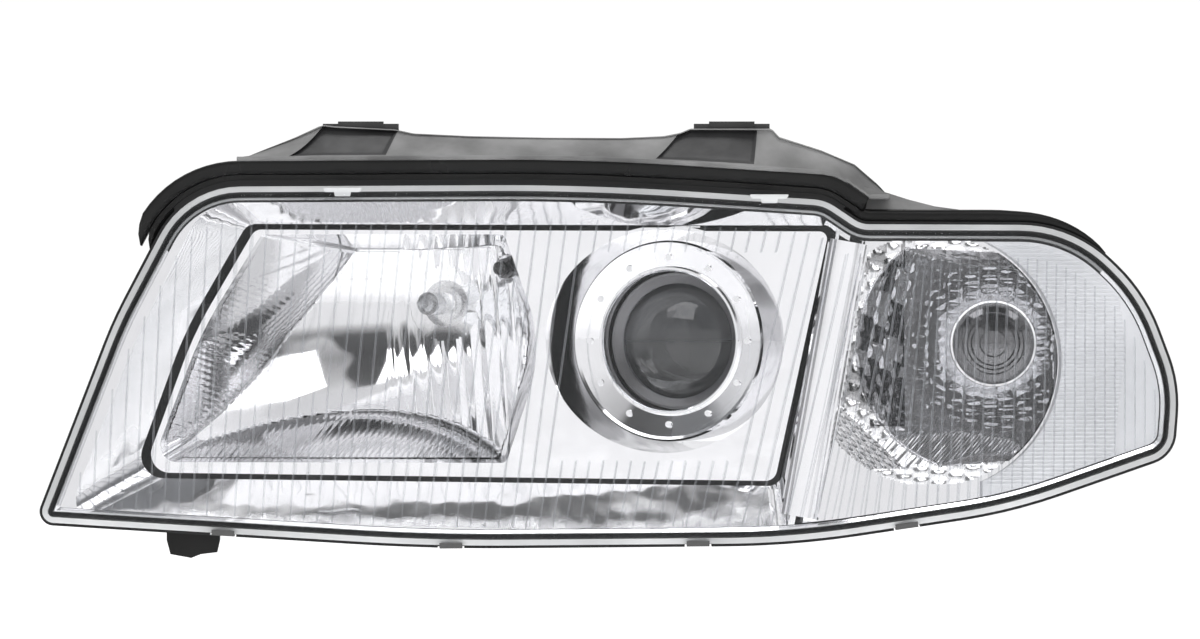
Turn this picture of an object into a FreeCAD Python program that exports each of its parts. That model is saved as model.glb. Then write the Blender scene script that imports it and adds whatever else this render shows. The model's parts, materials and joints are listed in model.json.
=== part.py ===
import FreeCAD, Part
import math
import os
import re
import Sketcher
from FreeCAD import Placement, Rotation, Vector

# A front headlight for the left-hand corner of a saloon car. +X runs outboard, -Y is the lit face, +Z is up.
# The origin is midway between the two upper mounting holes, on top of their plates. Millimetres.

doc = FreeCAD.newDocument("headlight")
sheet = doc.addObject("Spreadsheet::Sheet", "dims")

DIMENSIONS = [
    # swept face of the lamp
    ("face_front", -90.0),      # Y of the front face at X = 0, at its foot
    ("inboard_sweep", 1343.0),  # plan radius of the face, X below 0
    ("outboard_sweep", 820.0),  # plan radius of the face, X above 0
    ("face_rake", 0.08),        # how far the face leans back for each mm of height
    ("face_foot", -222.0),      # Z that the rake is measured from
    # lens and housing
    ("lens_wall", 3.0),
    ("lens_lip", 3.0),
    ("lip_depth", 19.0),
    ("lens_depth", 40.0),
    ("seal_thick", 2.0),
    ("rim_outset", 1.5),
    ("rim_depth", 46.0),
    ("seal_foot", 5.8),
    ("seal_top", 13.0),
    ("tub_inset", 13.0),
    ("tub_wall", 3.0),
    ("tub_back", 66.0),
    ("turn_back", 42.0),
    # aiming carriage
    ("optic_toe", 20.0),        # the beams leave this many degrees inboard of -Y
    ("panel_front", -36.0),
    ("panel_thick", 2.5),
    ("frame_front", -20.0),
    ("frame_thick", 5.0),
    ("pivot_x", 24.0),
    ("pivot_y", -2.0),
    ("pivot_z", -184.0),
    ("lift_z", -62.0),          # height of the vertical adjuster's ball
    ("yaw_x", -188.0),          # place of the horizontal adjuster's ball
    ("ball_radius", 5.0),
    ("shaft_radius", 3.0),
    ("socket_play", 0.4),
    # main beam
    ("main_x", -53.0),
    ("main_y", 35.0),
    ("main_z", -95.0),
    ("main_focus", 45.5),
    ("access_x", -50.0),
    ("access_y", 56.0),
    ("shell_wall", 2.5),
    ("bulb_hole", 12.5),
    # projector
    ("low_x", 64.0),
    ("low_y", -32.0),
    ("low_z", -114.7),
    ("ring_radius", 53.0),
    ("ring_bore", 36.9),
    ("ring_depth", 34.0),
    ("rivet_circle", 44.0),
    ("rivet_radius", 1.7),
    ("rivet_count", 12.0),
    ("cup_radius", 59.0),
    ("cup_wall", 2.0),
    ("low_bulb_seat", 108.0),   # along the beam from the ring's front to the bulb's flange
    ("main_bulb_seat", 6.0),   # along the beam from the vertex to the bulb's flange
    # rear collars and covers
    ("collar_bore", 46.0),
    ("collar_wall", 3.0),
    ("collar_end", 97.5),       # Y of the collars' centres at their rear faces
    ("cover_play", 0.4),
    ("cover_wall", 2.6),
    # bulbs
    ("flange_radius", 14.0),
    ("flange_thick", 2.5),
    ("clip_wire", 0.9),
    ("clip_half_width", 11.0),
    ("clip_reach", 16.4),
    ("seat_plate_radius", 25.5),
    # indicator
    ("turn_x", 236.0),
    ("turn_z", -116.0),
    ("turn_vertex", 33.0),
    ("turn_focus", 16.0),
    ("turn_hole", 14.0),
    ("optic_radius", 23.0),
    # mounts
    ("bolt_spacing", 196.0),
    ("bolt_hole", 4.3),
    ("plate_thick", 3.0),
    ("tab_width", 40.0),
    ("foot_x", -186.0),
    ("inboard_roof", -45.0),
    ("outboard_roof", -48.8),
    ("boss_x", 296.0),
    ("boss_z", -142.0),
    ("boss_length", 18.0),
    ("boss_hole", 3.3),
]
for row, (alias, value) in enumerate(DIMENSIONS, start=1):
    sheet.set(f"A{row}", alias)
    sheet.set(f"B{row}", str(value))
    sheet.setAlias(f"B{row}", alias)
doc.recompute()

UP = Vector(0, 0, 1)
REAR = Vector(0, 1, 0)
FAR = 700.0  # longer than the lamp in any direction

# Corners of the lens's outer edge, as (X, Z, radius), clockwise seen from the front.
LENS_EDGE = [
    (-268, -210, 6), (-227, -104, 220), (-190, -33.5, 48), (20, -32.5, 1500), (147, -40.5, 22),
    (166, -53.2, 14), (278, -53.5, 70), (316, -90, 90), (334, -138, 70), (331, -174.5, 16),
    (245, -204, 300), (130, -221, 500), (-60, -222.5, 1200),
]
# The aiming panel and the window it stands in.
PANEL_EDGE = [(-212.5, -184, 10), (-185.3, -110, 200), (-153.5, -56, 6), (149, -57, 4), (120.5, -188.5, 6)]
WINDOW_EDGE = [(-218.4, -186.9, 12), (-190.6, -110, 200), (-157.5, -53, 8), (152.5, -54, 5),
               (123.3, -191.2, 8)]
# The main reflector's mouth in the panel, and its outline further back.
MAIN_MOUTH = [(-207.5, -178.5, 9), (-181.8, -110, 200), (-150, -58.5, 5), (-22, -58.5, 4), (-1, -118, 75),
              (-21, -179, 4)]
MAIN_DEEP = [(-152.3, -142.7, 9), (-126.6, -106, 150), (-94.8, -67.5, 5), (-26, -67.5, 4), (-8, -112, 70),
             (-27, -143.2, 4)]
DEEP_BACK = 80.0  # from the mouth to the drawn-in outline
# The plate behind the panel that carries the optics and the three ball sockets.
PLATE_EDGE = [(-211, -194, 8), (-186, -110, 200), (-156, -61, 8), (146, -61, 4), (122, -194, 6)]
# Where the indicator starts, beside the divider.
TURN_EDGE = [(126, -235, 2), (168, -20, 2), (345, -20, 2), (345, -235, 2)]
# The fixed frame's outer corners round the aiming panel.
FRAME_EDGE = [(-257.5, -209, 9), (-223.6, -118, 250), (-187.5, -39.5, 33), (161.5, -42.5, 9),
              (126.5, -217, 9)]


def value(expression):
    """A number worked out from the sheet's cells."""
    return float(sheet.evalExpression(expression))


def bind(item, setting, expression):
    """Ties a property to the sheet. Every cell's name has an underscore, and nothing else here does."""
    item.setExpression(setting, re.sub(r"\b([a-z]+(?:_[a-z]+)+)\b", r"dims.\1", expression))


def feature(label, shape, placement=None):
    item = doc.addObject("Part::Feature", label)
    item.Shape = shape
    if placement is not None:
        item.Placement = placement
    return item


def combine(kind, label, *parts):
    """Part::Cut, Part::Common or Part::Fuse of two parts, or MultiFuse or Compound of several."""
    item = doc.addObject(f"Part::{kind}", label)
    if kind == "MultiFuse":
        item.Shapes = list(parts)
    elif kind == "Compound":
        item.Links = list(parts)
    else:
        item.Base, item.Tool = parts
    return item


def cylinder(label, radius, height, placement):
    item = doc.addObject("Part::Cylinder", label)
    bind(item, "Radius", radius)
    bind(item, "Height", height)
    item.Placement = placement
    return item


def box(label, size, corner):
    """A box of size (X, Y, Z) expressions, with its lowest corner at a point."""
    item = doc.addObject("Part::Box", label)
    for setting, expression in zip(("Length", "Width", "Height"), size):
        bind(item, setting, expression)
    item.Placement.Base = Vector(*corner)
    return item


def looking_back(x, y, z, along=0.0, toe=0.0):
    """A placement whose Z axis runs to the rear, turned outboard by toe, moved along that axis."""
    turn = Rotation(UP, -toe) * Rotation(Vector(1, 0, 0), -90)
    return Placement(Vector(x, y, z) + turn.multVec(UP) * along, turn)


def main_axis(along=0.0):
    return looking_back(value("main_x"), value("main_y"), value("main_z"), along, value("optic_toe"))


def access_axis(along=0.0):
    """The main bulb's access opening, a little inboard of its bulb."""
    return looking_back(value("access_x"), value("access_y"), value("main_z"), along, value("optic_toe"))


def low_axis(along=0.0):
    return looking_back(value("low_x"), value("low_y"), value("low_z"), along, value("optic_toe"))


def offset_corners(corners, outset):
    """The corner list moved out square to its edges, radii included."""
    moved = []
    for i, (x, z, radius) in enumerate(corners):
        before, after = corners[i - 1], corners[(i + 1) % len(corners)]
        inward = Vector(x - before[0], 0, z - before[1]).normalize()
        onward = Vector(after[0] - x, 0, after[1] - z).normalize()
        out = Vector(-inward.z - onward.z, 0, inward.x + onward.x)
        spot = Vector(x, 0, z) + out * (outset / (0.5 * out.Length ** 2))
        convex = inward.x * onward.z - inward.z * onward.x < 0
        moved.append((spot.x, spot.z, max(0.4, radius + (outset if convex else -outset))))
    return moved


def rounded_wire(corners, y=0.0):
    """A closed outline square to Y, with an arc at each corner."""
    arcs = []
    for i, (x, z, radius) in enumerate(corners):
        before, after = corners[i - 1], corners[(i + 1) % len(corners)]
        corner = Vector(x, y, z)
        back = (Vector(before[0], y, before[1]) - corner).normalize()
        ahead = (Vector(after[0], y, after[1]) - corner).normalize()
        half = back.getAngle(ahead) / 2
        reach = radius / math.tan(half)
        middle = (back + ahead).normalize() * (radius / math.sin(half) - radius)
        arcs.append((corner + back * reach, corner + middle, corner + ahead * reach))
    edges = []
    for i, (start, middle, end) in enumerate(arcs):
        edges.append(Part.Arc(start, middle, end).toShape())
        edges.append(Part.makeLine(end, arcs[(i + 1) % len(arcs)][0]))
    return Part.Wire(edges)


def prism(label, corners, outset="0", start=-FAR / 2, length=str(FAR)):
    """An outline's solid, running to the rear from Y = start."""
    profile = feature(label + "_outline", rounded_wire(offset_corners(corners, value(outset)), start))
    item = doc.addObject("Part::Extrusion", label)
    item.Base = profile
    item.DirMode = "Custom"
    item.Dir = REAR
    bind(item, "LengthFwd", length)
    item.Solid = True
    return item


def face_line(depth):
    """The face's two plan arcs, this far behind it, from the inboard end to the outboard end."""
    front = value("face_front") + depth
    inboard, outboard = value("inboard_sweep"), value("outboard_sweep")

    def at(x):
        radius = inboard if x < 0 else outboard
        return Vector(x, front + radius - math.sqrt(radius ** 2 - x ** 2), 0)

    return [(at(-300), at(-150), at(0)), (at(0), at(190), at(360))]


def swept_slab(label, near, far):
    """The space between near and far behind the swept, raked face, over the lamp's height."""
    near, far = value(near), value(far)
    ahead, behind = face_line(near), face_line(far)
    edges = [Part.Arc(*points).toShape() for points in ahead + behind]
    edges.append(Part.makeLine(ahead[1][2], behind[1][2]))
    edges.append(Part.makeLine(behind[0][0], ahead[0][0]))
    base = feature(label + "_plan", Part.Wire(Part.__sortEdges__(edges)))
    foot = value("face_foot") - 20
    base.Placement.Base = Vector(0, -20 * value("face_rake"), foot)
    item = doc.addObject("Part::Extrusion", label)
    item.Base = base
    item.DirMode = "Custom"
    item.Dir = Vector(0, value("face_rake"), 1)
    item.LengthFwd = 250 * math.hypot(value("face_rake"), 1)
    item.Solid = True
    return item


def origin_plane(body, role):
    return next(item for item in body.Origin.OriginFeatures if item.Role == role)


def turned(label, profile, placement):
    """A body turned about its own Z axis. The profile is (radius, height) pairs, each 0 or more."""
    body = doc.addObject("PartDesign::Body", label)
    sketch = body.newObject("Sketcher::SketchObject", label + "_profile")
    sketch.AttachmentSupport = [(origin_plane(body, "XZ_Plane"), "")]
    sketch.MapMode = "FlatFace"
    spots = [Vector(value(radius), value(height), 0) for radius, height in profile]
    count = len(spots)
    for i in range(count):
        sketch.addGeometry(Part.LineSegment(spots[i], spots[(i + 1) % count]), False)
    for i in range(count):
        sketch.addConstraint(Sketcher.Constraint("Coincident", i, 2, (i + 1) % count, 1))
    for i, expressions in enumerate(profile):
        for kind, axis, size, expression in zip(("DistanceX", "DistanceY"), (-2, -1), spots[i], expressions):
            if size == 0:
                sketch.addConstraint(Sketcher.Constraint("PointOnObject", i, 1, axis))
            else:
                at = sketch.addConstraint(Sketcher.Constraint(kind, -1, 1, i, 1, size))
                bind(sketch, f"Constraints[{at}]", expression)
    turn = body.newObject("PartDesign::Revolution", label + "_turn")
    turn.Profile = sketch
    turn.ReferenceAxis = (sketch, ["V_Axis"])
    turn.Angle = 360
    body.Tip = turn
    body.Placement = placement
    return body


def fluted(body, label, radius, flute, depth, count):
    """Cuts count finger flutes through a turned body, round its edge."""
    sketch = body.newObject("Sketcher::SketchObject", label + "_flute")
    sketch.AttachmentSupport = [(origin_plane(body, "XY_Plane"), "")]
    sketch.MapMode = "FlatFace"
    sketch.addGeometry(Part.Circle(Vector(radius, 0, 0), UP, flute), False)
    sketch.addConstraint(Sketcher.Constraint("Radius", 0, flute))
    sketch.addConstraint(Sketcher.Constraint("PointOnObject", 0, 3, -1))
    sketch.addConstraint(Sketcher.Constraint("DistanceX", -1, 1, 0, 3, radius))
    cut = body.newObject("PartDesign::Pocket", label + "_cut")
    cut.Profile = sketch
    cut.Type = "Length"
    cut.Length = depth
    cut.Reversed = True
    ring = body.newObject("PartDesign::PolarPattern", label + "_ring")
    ring.Originals = [cut]
    ring.Axis = (sketch, ["N_Axis"])
    ring.Angle = 360
    ring.Occurrences = count
    body.Tip = ring
    return body


def padded(label, points, length, placement):
    """A body padded from a closed outline in its own XY plane, by length along its own Z."""
    body = doc.addObject("PartDesign::Body", label)
    sketch = body.newObject("Sketcher::SketchObject", label + "_profile")
    sketch.AttachmentSupport = [(origin_plane(body, "XY_Plane"), "")]
    sketch.MapMode = "FlatFace"
    corners = [Vector(x, y, 0) for x, y in points]
    for i, corner in enumerate(corners):
        sketch.addGeometry(Part.LineSegment(corner, corners[(i + 1) % len(corners)]), False)
    pad = body.newObject("PartDesign::Pad", label + "_pad")
    pad.Profile = sketch
    bind(pad, "Length", length)
    body.Tip = pad
    body.Placement = placement
    return body


def paraboloid(focus, depth):
    """A solid paraboloid opening towards -Z from its vertex at 0. One Bezier arc is the exact curve."""
    radius = math.sqrt(4 * focus * depth)
    curve = Part.BezierCurve()
    curve.setPoles([Vector(0, 0, 0), Vector(radius / 2, 0, 0), Vector(radius, 0, -depth)])
    edges = [
        curve.toShape(),
        Part.makeLine(Vector(radius, 0, -depth), Vector(0, 0, -depth)),
        Part.makeLine(Vector(0, 0, -depth), Vector(0, 0, 0)),
    ]
    return Part.Face(Part.Wire(edges)).revolve(Vector(), UP, 360)


def wedge(floor_front, floor_back, roof_front, roof_back, start, end):
    """The space between a sloping floor and roof, from Y = start to Y = end."""
    points = [(start, floor_front), (end, floor_back), (end, roof_back), (start, roof_front)]
    wire = Part.makePolygon([Vector(-FAR / 2, y, z) for y, z in points + points[:1]])
    return Part.Face(wire).extrude(Vector(FAR, 0, 0))


# ---------------------------------------------------------------- lens, seal and housing

def build_lens():
    dish = combine("Common", "lens_dish", prism("lens_block", LENS_EDGE, "0 - lens_lip"),
                   swept_slab("lens_slab", "0", "lens_depth"))
    hollow = combine("Common", "lens_hollow", prism("lens_void", LENS_EDGE, "0 - lens_lip - lens_wall"),
                     swept_slab("lens_void_slab", "lens_wall", "lens_depth + 1"))
    shell = combine("Cut", "lens_shell", dish, hollow)
    band = combine("Common", "lens_band", prism("lip_block", LENS_EDGE),
                   swept_slab("lip_slab", "lip_depth", "lip_depth + lens_lip"))
    lip = combine("Cut", "lens_rim", band, prism("lip_void", LENS_EDGE, "0 - lens_lip - lens_wall / 2"))
    tabs = []
    for x in (-106, 120):
        z = edge_point(x, True)[0] - 4.6
        tabs.append(box(f"lens_tab_{x}", ("17", "5", "4"), (x - 8.5, face_y(x, z, 15), z)))
    return combine("MultiFuse", "front_lens", shell, lip, *tabs)


def build_lens_seal():
    ring = combine("Cut", "seal_ring", prism("seal_outer", LENS_EDGE, "0 - lens_lip - 0.2"),
                   prism("seal_inner", LENS_EDGE, "0 - lens_lip - lens_wall - 1"))
    return combine("Common", "lens_seal", ring,
                   swept_slab("seal_slab", "lens_depth", "lens_depth + seal_thick"))


def tub_plan(inset, start):
    """Plan outline of the housing's back, inset by its wall, as a tall solid."""
    back, turn = value("tub_back") - inset, value("turn_back") - inset
    slope = 0.35 * inset
    points = [(-300, start), (-262 + inset, 8), (-225 + inset, back), (185 - slope, back),
              (201 - slope, turn), (360, turn), (360, start)]
    wire = Part.makePolygon([Vector(x, y, -260) for x, y in points + points[:1]])
    return Part.Face(wire).extrude(Vector(0, 0, 300))


def collar(label, axis, radius, start, end):
    item = cylinder(label, radius, str(end - start), axis(start))
    return item


def build_housing():
    rim = combine("Common", "rim", prism("rim_block", LENS_EDGE, "rim_outset"),
                  swept_slab("rim_slab", "lip_depth + lens_lip + 0.2", "rim_depth"))
    tub_block = combine("Common", "tub_block", prism("tub_outer", LENS_EDGE, "0 - tub_inset"),
                        swept_slab("tub_slab", "rim_depth - 2", "400"))
    tub = combine("Common", "tub", tub_block, feature("tub_shape", tub_plan(0, -150)))
    solid = combine("Fuse", "housing_block", rim, tub)
    seat = combine("Common", "rim_void", prism("seat_outer", LENS_EDGE, "0 - lens_lip + 0.4"),
                   swept_slab("seat_slab", "lip_depth", "lens_depth + seal_thick"))
    void_block = combine("Common", "tub_void_block",
                         prism("tub_inner", LENS_EDGE, "0 - tub_inset - tub_wall"),
                         swept_slab("tub_void_slab", "lens_depth", "400"))
    tub_void = combine("Common", "tub_void", void_block,
                       feature("tub_void_shape", tub_plan(value("tub_wall"), -150)))
    shell = combine("Cut", "housing_shell", combine("Cut", "housing_seat", solid, seat), tub_void)
    behind = box("behind_back", ("700", "200", "400"), (-350, value("tub_back") - 1.5, -300))
    tubes, bores = [], []
    for label, axis in (("main", access_axis), ("low", low_axis)):
        end = collar_station(axis)
        block = collar(label + "_collar_block", axis, "collar_bore + collar_wall", end - 70, end)
        tubes.append(combine("Common", label + "_collar", block, behind))
        bores.append(collar(label + "_bore", axis, "collar_bore", end - 60, end + 10))
    holes = [cylinder("lift_hole", "6", "20", looking_back(value("pivot_x"), 50, value("lift_z"))),
             cylinder("yaw_hole", "6", "20", looking_back(value("yaw_x"), 50, value("pivot_z"))),
             cylinder("turn_holder_hole", "turn_hole", "20",
                      looking_back(value("turn_x"), value("turn_back") - 10, value("turn_z"))),
             box("plug_hole", ("26", "20", "10"), (-183, 52, -105))]
    boss = cylinder("rear_boss", "9", "boss_length",
                    looking_back(value("boss_x"), value("turn_back") - 1, value("boss_z")))
    holes.append(cylinder("boss_bore", "boss_hole", "boss_length",
                          looking_back(value("boss_x"), value("turn_back"), value("boss_z"))))
    gutter = combine("Common", "top_gutter", top_band("gutter_band", "0", "seal_foot - 0.3", "25", "43"),
                     height_window("gutter_window", [(-196, -52), (-150, -48), (150, -50), (158, -44),
                                                     (158, 0), (-196, 0)]))
    extras = tubes + stiffeners() + bracket_pads()
    joined = combine("MultiFuse", "housing_joined", shell, gutter, *extras, boss)
    cuts = combine("MultiFuse", "housing_bores", *bores, *holes, *clip_recesses())
    return combine("Cut", "housing", joined, cuts)


def bracket_foot(side):
    """Height of the flat on the housing's roof that one bracket stands on."""
    return value("inboard_roof") if side < 0 else value("outboard_roof")


def bracket_pads():
    pads = []
    for side in (-1, 1):
        corner = (side * value("bolt_spacing") / 2 - 21, 11, bracket_foot(side) - 4)
        pads.append(box(f"bracket_pad_{side}", ("tab_width + 2", "32", "4"), corner))
    return pads


def stiffeners():
    """Ribs across the tub's flat back."""
    ribs = []
    for i, x in enumerate((-208, -176, -144, -112)):
        ribs.append(box(f"back_rib_{i}", ("3", "7", "44"), (x, value("tub_back") - 1, -170)))
    ribs.append(box("back_rib_low", ("200", "7", "3"), (-210, value("tub_back") - 1, -172)))
    ribs.append(box("back_rib_high", ("110", "7", "3"), (-212, value("tub_back") - 1, -129)))
    return ribs


def collar_station(axis):
    """How far along a beam's axis its collar ends, where its centre is at Y = collar_end."""
    return (value("collar_end") - axis().Base.y) / math.cos(math.radians(value("optic_toe")))


# ---------------------------------------------------------------- fixed trim inside the lens

def frustum(label, outer, inner, outset, front, back):
    """A four-sided funnel from a large outline at the front to a small one at the back, then straight on."""
    large = rounded_wire(offset_corners(outer, outset), front)
    small = rounded_wire(offset_corners(inner, outset), back)
    funnel = Part.makeLoft([large, small], True, True)
    throat = Part.Face(small).extrude(Vector(0, 40, 0))
    return feature(label, funnel.fuse(throat))


def build_bezel():
    front, back = -60.0, -38.0
    slab = prism("bezel_block", LENS_EDGE, "0 - 8.5", front, "26")
    face = combine("Common", "bezel_face", slab, swept_slab("bezel_slab", "8", "120"))
    funnel = frustum("bezel_funnel", FRAME_EDGE, WINDOW_EDGE, 0, front - 0.5, back)
    turn_side = prism("bezel_turn_side", TURN_EDGE, "0", -200, "300")
    rim = combine("Cut", "bezel_rim", combine("Cut", "bezel_cut", face, funnel), turn_side)
    inner = prism("bezel_hollow", LENS_EDGE, "0 - 11", front + 2.5, "40")
    wall = frustum("bezel_wall", FRAME_EDGE, WINDOW_EDGE, 2.2, front - 0.5, back)
    hollow = combine("Cut", "bezel_pocket", combine("Common", "bezel_pocket_block", inner,
                     swept_slab("bezel_pocket_slab", "10.5", "140")), wall)
    shell = combine("Cut", "bezel_shell", rim, hollow)
    room = combine("Fuse", "bezel_room", swept_slab("bezel_room_slab", "5", "lens_depth - 1"),
                   prism("bezel_room_block", LENS_EDGE, "0 - tub_inset - tub_wall - 1"))
    fitted = combine("Common", "bezel_fitted", shell, room)
    return combine("Cut", "inner_bezel", fitted, divider_bar("bezel_divider_way", 0.15))


def divider_bar(label, grow=0.0):
    """The round bar that leans between the main window and the indicator."""
    foot, top = Vector(133, -58, -207), Vector(160, -50, -56)
    bar = doc.addObject("Part::Cylinder", label)
    bar.Radius = 10.5 + grow
    bar.Height = (top - foot).Length
    bar.Placement = Placement(foot, Rotation(UP, top - foot))
    return bar


def build_divider():
    """The front half of the divider's bar, kept off the lens."""
    bar = divider_bar("divider_bar")
    back = box("divider_back", ("90", "60", "240"), (100, -49, -240))
    limit = combine("Common", "divider_limit", prism("divider_block", LENS_EDGE, "0 - 7"),
                    swept_slab("divider_slab", "5", "200"))
    bare = combine("Cut", "divider_half", bar, back)
    return combine("Common", "divider_trim", bare, limit)


def turn_shapes(grow):
    """The indicator's bowl: a paraboloid trimmed by a drum, a floor and a roof, grown by a wall."""
    bowl = paraboloid(value("turn_focus"), 140)
    bowl.Placement = looking_back(value("turn_x"), value("turn_vertex") + grow, value("turn_z"))
    drum = Part.makeCylinder(67 + grow, 200, Vector(203, -110, -125), REAR)
    space = wedge(-184 - grow, -158 - grow, -62 + grow, -83 + grow, -60, 50)
    return bowl.common(drum).common(space)


def build_turn_reflector():
    area = combine("Common", "turn_area", prism("turn_block", LENS_EDGE, "0 - 9"),
                   prism("turn_side", TURN_EDGE, "0 - 4", -200, "400"))
    block = combine("Cut", "turn_block_cut", area, divider_bar("turn_divider_way", 0.15))
    plate = combine("Common", "turn_plate", block, swept_slab("turn_slab", "15", "17.5"))
    rear_slab = swept_slab("turn_rear_slab", "15", "200")
    shell = combine("Common", "turn_shell", combine("Common", "turn_shell_side",
                    feature("turn_bowl_outer", turn_shapes(2.0)), block), rear_slab)
    whole = combine("Fuse", "turn_whole", plate, shell)
    open_bowl = combine("Cut", "turn_open", whole, feature("turn_bowl_inner", turn_shapes(0.0)))
    hole = cylinder("turn_bulb_way", "11", "40", looking_back(value("turn_x"), 10, value("turn_z")))
    return combine("Cut", "turn_reflector", open_bowl, hole)


def build_turn_optic():
    """A ringed cap in front of the indicator's bulb, with a skirt."""
    rings = [("0", "1.2"), ("4.5", "0.6"), ("4.5", "1.6"), ("9", "1"), ("9", "2"), ("13.5", "1.4"),
             ("13.5", "2.4"), ("optic_radius - 4", "1.9"), ("optic_radius - 4", "0.6"),
             ("optic_radius", "0.6"), ("optic_radius", "20"), ("optic_radius - 1.8", "20"),
             ("optic_radius - 1.8", "4.5"), ("0", "4.5")]
    return turned("turn_optic", rings, looking_back(value("turn_x"), -24, value("turn_z")))


def build_side_diffuser():
    """The ribbed pane that fills the outboard corner, in front of the indicator's plate."""
    block = combine("Common", "diffuser_area", prism("diffuser_block", LENS_EDGE, "0 - 9"),
                    swept_slab("diffuser_slab", "12.5", "14.8"))
    drum = cylinder("diffuser_drum", "69", "400", looking_back(203, -200, -125))
    inboard = box("diffuser_inboard", ("600", "400", "300"), (-370, -200, -280))
    return combine("Cut", "side_diffuser", combine("Cut", "diffuser_open", block, drum), inboard)


# ---------------------------------------------------------------- aiming carriage

def main_cavity(grow, start):
    """The main reflector's space, or its outer skin when grown by its wall, behind Y = start."""
    front = value("panel_front")
    bowl = paraboloid(value("main_focus") * (1 + 0.011 * grow), 175 + grow)
    bowl.Placement = main_axis(grow)
    mouth = rounded_wire(offset_corners(MAIN_MOUTH, grow), front)
    deep = rounded_wire(offset_corners(MAIN_DEEP, grow), front + DEEP_BACK)
    whole = bowl.common(Part.makeLoft([mouth, deep], True, True))
    ahead = Part.makeBox(FAR, FAR, FAR, Vector(-FAR / 2, start - FAR, -FAR / 2))
    return whole.cut(ahead)


def build_panel():
    plate = prism("panel_plate", PANEL_EDGE, "0", value("panel_front"), "panel_thick")
    mouth = feature("panel_mouth", main_cavity(0.0, value("panel_front")))
    cup = cylinder("panel_cup_hole", "cup_radius", "120", low_axis(-60))
    return combine("Cut", "reflector_panel", combine("Cut", "panel_open", plate, mouth), cup)


def parking_axis(along=0.0):
    return looking_back(-22.6, 7.8, -76.3, along, value("optic_toe"))


def build_main_reflector():
    rear_face = value("panel_front") + value("panel_thick")
    skin = feature("main_skin", main_cavity(value("shell_wall"), rear_face))
    neck = cylinder("main_neck", "19", "main_bulb_seat + 7", main_axis(-7))
    boss = cylinder("parking_boss", "9", "22", parking_axis(-8))
    seat = cylinder("main_seat_plate", "seat_plate_radius", "3", main_axis(value("main_bulb_seat") - 3))
    solid = combine("MultiFuse", "main_solid", skin, neck, seat, boss)
    space = feature("main_space", main_cavity(0.0, value("panel_front")))
    open_bowl = combine("Cut", "main_bowl", solid, space)
    ways = combine("Fuse", "main_ways", cylinder("main_bulb_way", "bulb_hole", "60", main_axis(-30)),
                   cylinder("parking_way", "5.5", "60", parking_axis(-30)))
    return combine("Cut", "main_reflector", open_bowl, ways)


def build_cup():
    """The chrome well that the projector's ring stands in."""
    tube = combine("Cut", "cup_tube", cylinder("cup_outer", "cup_radius + cup_wall", "96", low_axis(-60)),
                   cylinder("cup_inner", "cup_radius", "60 + ring_depth", low_axis(-60)))
    bored = combine("Cut", "cup_bored", tube, cylinder("cup_bore", "41", "140", low_axis(-60)))
    ahead = box("cup_ahead", ("700", "400", "700"),
                (-350, value("panel_front") + value("panel_thick") - 400, -500))
    crown = box("cup_crown", ("120", "60", "20"), (0, -60, -54.9))
    return combine("Cut", "projector_cup", bored, combine("Fuse", "cup_trims", ahead, crown))


def socket_block(label, x, z, radius, depth):
    return cylinder(label, str(radius), str(depth),
                    looking_back(x, value("frame_front") + value("frame_thick"), z))


def build_carriage_frame():
    plate = prism("frame_plate", PLATE_EDGE, "0", value("frame_front"), "frame_thick")
    x, y, z = value("pivot_x"), value("pivot_y"), value("pivot_z")
    blocks = [socket_block("pivot_block", x, z, 10.5, 17), socket_block("lift_block", x, value("lift_z"), 8, 16),
              socket_block("yaw_block", value("yaw_x"), z, 7.5, 16)]
    solid = combine("MultiFuse", "frame_solid", plate, *blocks)
    balls = [("pivot_space", (x, y, z), 8.05), ("lift_space", (x, y, value("lift_z")), 5.0 + value("socket_play")),
             ("yaw_space", (value("yaw_x"), y, z), 5.0 + value("socket_play"))]
    spaces = []
    for label, centre, radius in balls:
        ball = doc.addObject("Part::Sphere", label)
        ball.Radius = radius
        ball.Placement.Base = Vector(*centre)
        spaces.append(ball)
    spaces.append(cylinder("frame_cup_way", "cup_radius + cup_wall", "160", low_axis(-60)))
    spaces.append(feature("frame_main_way", main_cavity(value("shell_wall"), value("panel_front"))))
    return combine("Cut", "carriage_frame", solid, combine("MultiFuse", "frame_spaces", *spaces))


def ball_and_shaft(label, x, z, length):
    """A ball at the carriage's pivot depth with a shaft running to the rear."""
    ball = doc.addObject("Part::Sphere", label + "_ball")
    bind(ball, "Radius", "ball_radius")
    ball.Placement.Base = Vector(x, value("pivot_y"), z)
    shaft = cylinder(label + "_shaft", "shaft_radius", length, looking_back(x, value("pivot_y"), z))
    return combine("Fuse", label, ball, shaft)


def build_pivot():
    x, y, z = value("pivot_x"), value("pivot_y"), value("pivot_z")
    stud = ball_and_shaft("stud_rod", x, z, "tub_back - tub_wall - pivot_y")
    boss = cylinder("stud_foot", "7", "8", looking_back(x, value("tub_back") - value("tub_wall") - 8, z))
    combine("Fuse", "pivot_stud", stud, boss)
    shell = doc.addObject("Part::Sphere", "bush_ball")
    shell.Radius = 8.0
    shell.Placement.Base = Vector(x, y, z)
    space = doc.addObject("Part::Sphere", "bush_space")
    space.Radius = value("ball_radius") + 0.05
    space.Placement.Base = Vector(x, y, z)
    mouth = cylinder("bush_mouth", "4.3", "20", looking_back(x, y, z))
    rear = box("bush_rear", ("40", "20", "40"), (x - 20, y + 5.5, z - 20))
    combine("Cut", "pivot_bush", combine("Cut", "bush_hollow", shell, space),
            combine("Fuse", "bush_cuts", mouth, rear))


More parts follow.
